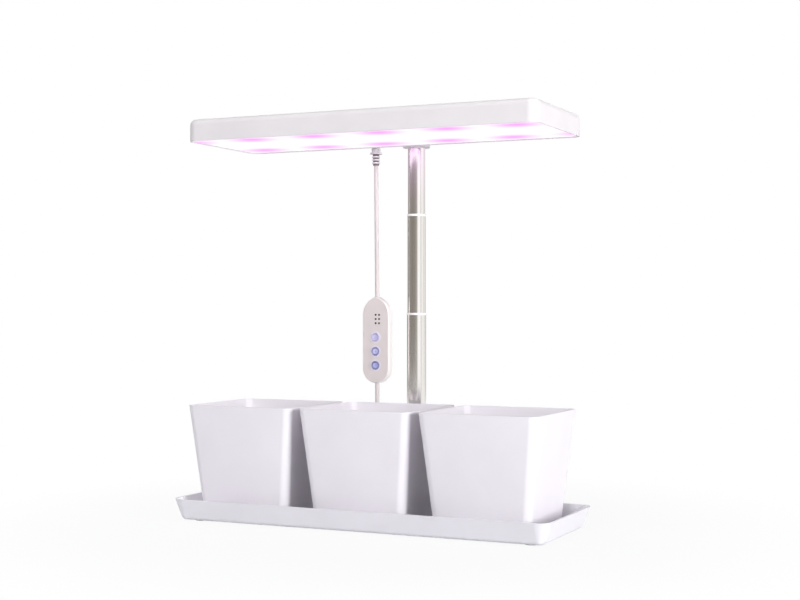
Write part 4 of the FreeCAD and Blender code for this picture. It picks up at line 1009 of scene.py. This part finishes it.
# Height and radius, in millimetres, and for each rib its lower edge, crest and valley
boot_section = [(364.5, 2.9), (364.7, 3.15), (365.9, 3.2), (366.3, 3.3), (366.45, 3.7)]
ribs = ((366.45, 4.15, 3.25), (369.65, 4.25, 3.3), (372.85, 4.35, 3.4))
for rib_low, crest, valley in ribs:
    boot_section += [
        (rib_low + 0.15, crest - 0.12), (rib_low + 0.45, crest), (rib_low + 1.05, crest),
        (rib_low + 1.35, crest - 0.12), (rib_low + 1.5, 3.75), (rib_low + 1.6, valley),
    ]
    if rib_low < ribs[-1][0]:
        boot_section += [(rib_low + 3.05, valley + 0.03), (rib_low + 3.2, 3.75)]
boot_section += [(376.2, 3.45), (376.5, 3.6)]
boot = turn_piece(
    "ribbed_boot", "z", (gland_x, cord_y, 0), [(z * MM, r * MM) for z, r in boot_section],
)
finish_piece(boot, "lamp", boot_finish(), smooth_angle=60)

# %% [markdown]
# ## Collars on the mast
#
# Each outer tube ends in a rolled lip with the white nylon of its slide bush turned out over
# it, and that shows as a bright thread of light across the dark steel. A ring with a round
# section is turned for each lip, two tenths of a millimetre proud of the steel. Its two end
# faces are then taken off, and a bridge between the open edges closes it round the tube.

# %% Three collars
mast_y = 72.9 * MM
# Height from the lip's top and radius from the lip's own, in millimetres
collar_section = (
    (-2.3, -0.65), (-2.29, -0.2), (-2.2, 0.0), (-1.9, 0.12), (-1.4, 0.2), (-0.8, 0.2),
    (-0.3, 0.1), (-0.05, -0.1), (0.05, -0.35), (0.06, -0.65),
)
collar_finish = moulded("nylon_slide_collar", "fdfbf7", "f6f2ec", 0.3, grain=0.3)
for name, body, top, radius in (
    ("collar_low", "stand", 105.9, 10.8),
    ("collar_middle", "mast_lower", 209.3, 10.3),
    ("collar_high", "mast_middle", 312.7, 9.8),
):
    profile = [((top + rise) * MM, (radius + swell) * MM) for rise, swell in collar_section]
    collar = turn_piece(name, "z", (0, mast_y, 0), profile, sides=64)
    pick(collar, "FACE", lambda face: len(face.vertices) > 8)
    bpy.ops.mesh.delete(type="FACE")
    bpy.ops.mesh.select_mode(type="EDGE")
    bpy.ops.mesh.select_non_manifold()
    bpy.ops.mesh.bridge_edge_loops()
    bpy.ops.object.mode_set(mode="OBJECT")
    finish_piece(collar, body, collar_finish)

# %% [markdown]
# ## Floor, world and lamps
#
# The ground is a plain pale sheet in a plain pale room. Seen straight by the camera both are
# white, and the floor keeps the object's shadow, because only part of what shows of it is
# that white. Further out the share grows to all of it, so the floor has no edge.
#
# Polished metal is a case of its own: in a room that is white all round it has nothing to
# mirror and looks flat, so a product photographer stands pale and grey cards round it. Rays
# that bounce off a gloss see a ring of such cards here, as a ramp by compass bearing, and its
# greys were set by the bands on the photographed mast. It is a little stronger than 1, to
# reach their white strip. The cards stay where they are when the camera moves.
#
# The lamps are large and soft: a key at the right, one in front, a weak one above, and one
# behind at the left that keeps the back from going dark. They are hidden from the gloss,
# where each would draw a hard streak down the tubes.

# %% Floor
near_floor, far_floor = 0.2, 0.5
clear_selection()
bpy.ops.mesh.primitive_circle_add(vertices=96, radius=1.9, fill_type="NGON", location=(0, 0, 0))
floor = bpy.context.object
floor.name = "floor"
floor_paint, floor_shader = start_material("pale_paper", 0.9)
floor_shader.inputs["Base Color"].default_value = linear("c6c6ca")
floor_shader.inputs["Specular IOR Level"].default_value = 0.0
rays = add_node(floor_paint, "ShaderNodeLightPath")
seen = add_node(
    floor_paint, "ShaderNodeMath",
    links={0: rays.outputs["Is Camera Ray"], 1: rays.outputs["Is Glossy Ray"]}, operation="ADD",
)
seen_too = add_node(
    floor_paint, "ShaderNodeMath",
    links={0: seen.outputs[0], 1: rays.outputs["Is Transmission Ray"]}, operation="ADD",
    use_clamp=True,
)
floor_place = add_node(floor_paint, "ShaderNodeTexCoord").outputs["Object"]
away = add_node(
    floor_paint, "ShaderNodeVectorMath", links={0: floor_place}, operation="LENGTH",
)
whiter = add_node(
    floor_paint, "ShaderNodeMapRange",
    {"From Min": near_floor, "From Max": far_floor, "To Min": 0.93, "To Max": 1.0},
    {"Value": away.outputs["Value"]}, interpolation_type="SMOOTHSTEP",
)
share_white = add_node(
    floor_paint, "ShaderNodeMath",
    links={0: seen_too.outputs[0], 1: whiter.outputs["Result"]}, operation="MULTIPLY",
)
white = add_node(floor_paint, "ShaderNodeEmission", {"Color": (1, 1, 1, 1), "Strength": 1.0})
both = add_node(
    floor_paint, "ShaderNodeMixShader",
    links={0: share_white.outputs[0], 1: floor_shader.outputs[0], 2: white.outputs[0]},
)
floor_out = floor_paint.node_tree.nodes["Material Output"]
floor_paint.node_tree.links.new(both.outputs[0], floor_out.inputs["Surface"])
floor.data.materials.append(floor_paint)
print("floor ready")

# %% World and its ring of cards
ring_turn = math.radians(65.8)
cards_by_bearing = (
    (-140, "a19e9a"), (-100, "938f8a"), (-55, "86817b"), (-20, "8f8a85"), (4, "aaa6a1"),
    (11, "d2ceca"), (16, "ffffff"), (49, "ffffff"), (56, "c4c2c0"), (63, "f2f1f0"),
    (96, "f8f7f7"), (106, "cac8c6"), (117, "f6f6f6"), (130, "e8e7e6"), (146, "b9b6b3"),
)
world = bpy.data.worlds.new("soft_room")
scene.world = world
world.use_nodes = True
world.node_tree.nodes.clear()
room = add_node(world, "ShaderNodeBackground", {"Color": linear("eeeef4"), "Strength": 0.13})
white_wall = add_node(world, "ShaderNodeBackground", {"Color": (1, 1, 1, 1), "Strength": 1.0})
way = add_node(world, "ShaderNodeTexCoord").outputs["Generated"]
turned_way = add_node(
    world, "ShaderNodeMapping", {"Rotation": (0, 0, ring_turn)}, {"Vector": way},
)
way_axes = add_node(world, "ShaderNodeSeparateXYZ", links={"Vector": turned_way.outputs["Vector"]})
bearing = add_node(
    world, "ShaderNodeMath",
    links={0: way_axes.outputs["Y"], 1: way_axes.outputs["X"]}, operation="ARCTAN2",
)
round_room = add_node(
    world, "ShaderNodeMapRange", {"From Min": -math.pi, "From Max": math.pi},
    {"Value": bearing.outputs[0]},
)
cards = add_node(world, "ShaderNodeValToRGB", links={"Fac": round_room.outputs["Result"]})
card_ramp = cards.color_ramp
for end in (0, 1):
    card_ramp.elements[end].color = linear("a8a5a2")
for degrees, shade in cards_by_bearing:
    card_ramp.elements.new((degrees + 180) / 360).color = linear(shade)
polished = add_node(
    world, "ShaderNodeBackground", {"Strength": 1.1}, {"Color": cards.outputs["Color"]},
)
world_rays = add_node(world, "ShaderNodeLightPath")
direct = add_node(
    world, "ShaderNodeMath",
    links={0: world_rays.outputs["Is Camera Ray"], 1: world_rays.outputs["Is Transmission Ray"]},
    operation="ADD", use_clamp=True,
)
lit = add_node(
    world, "ShaderNodeMixShader",
    links={0: direct.outputs[0], 1: room.outputs[0], 2: white_wall.outputs[0]},
)
mirrored = add_node(
    world, "ShaderNodeMixShader",
    links={0: world_rays.outputs["Is Glossy Ray"], 1: lit.outputs[0], 2: polished.outputs[0]},
)
add_node(world, "ShaderNodeOutputWorld", links={"Surface": mirrored.outputs[0]})
print("world ready with", len(cards_by_bearing), "cards")

# %% Studio lamps
def area_lamp(name, place, aim, size, watts):
    """A soft lamp that points at a place and doesn't show in a gloss."""
    bpy.ops.object.light_add(type="AREA", location=place)
    lamp = bpy.context.object
    lamp.name = name
    lamp.data.shape = "RECTANGLE"
    lamp.data.size, lamp.data.size_y = size
    lamp.data.energy = watts
    lamp.rotation_euler = (Vector(aim) - Vector(place)).to_track_quat("-Z", "Y").to_euler()
    lamp.visible_glossy = False


clear_selection()
area_lamp("key_right", (2.2, -0.5, 0.42), (0, 0, 0.15), (0.7, 0.9), 44)
area_lamp("front_soft", (0.0, -3.2, 0.75), (0, 0, 0.15), (0.8, 0.8), 48)
area_lamp("top_soft", (0.0, -0.6, 2.3), (0, 0, 0.1), (1.2, 0.9), 19)
area_lamp("rear_left", (-2.3, 1.6, 0.9), (0, 0, 0.15), (1.2, 1.2), 52)
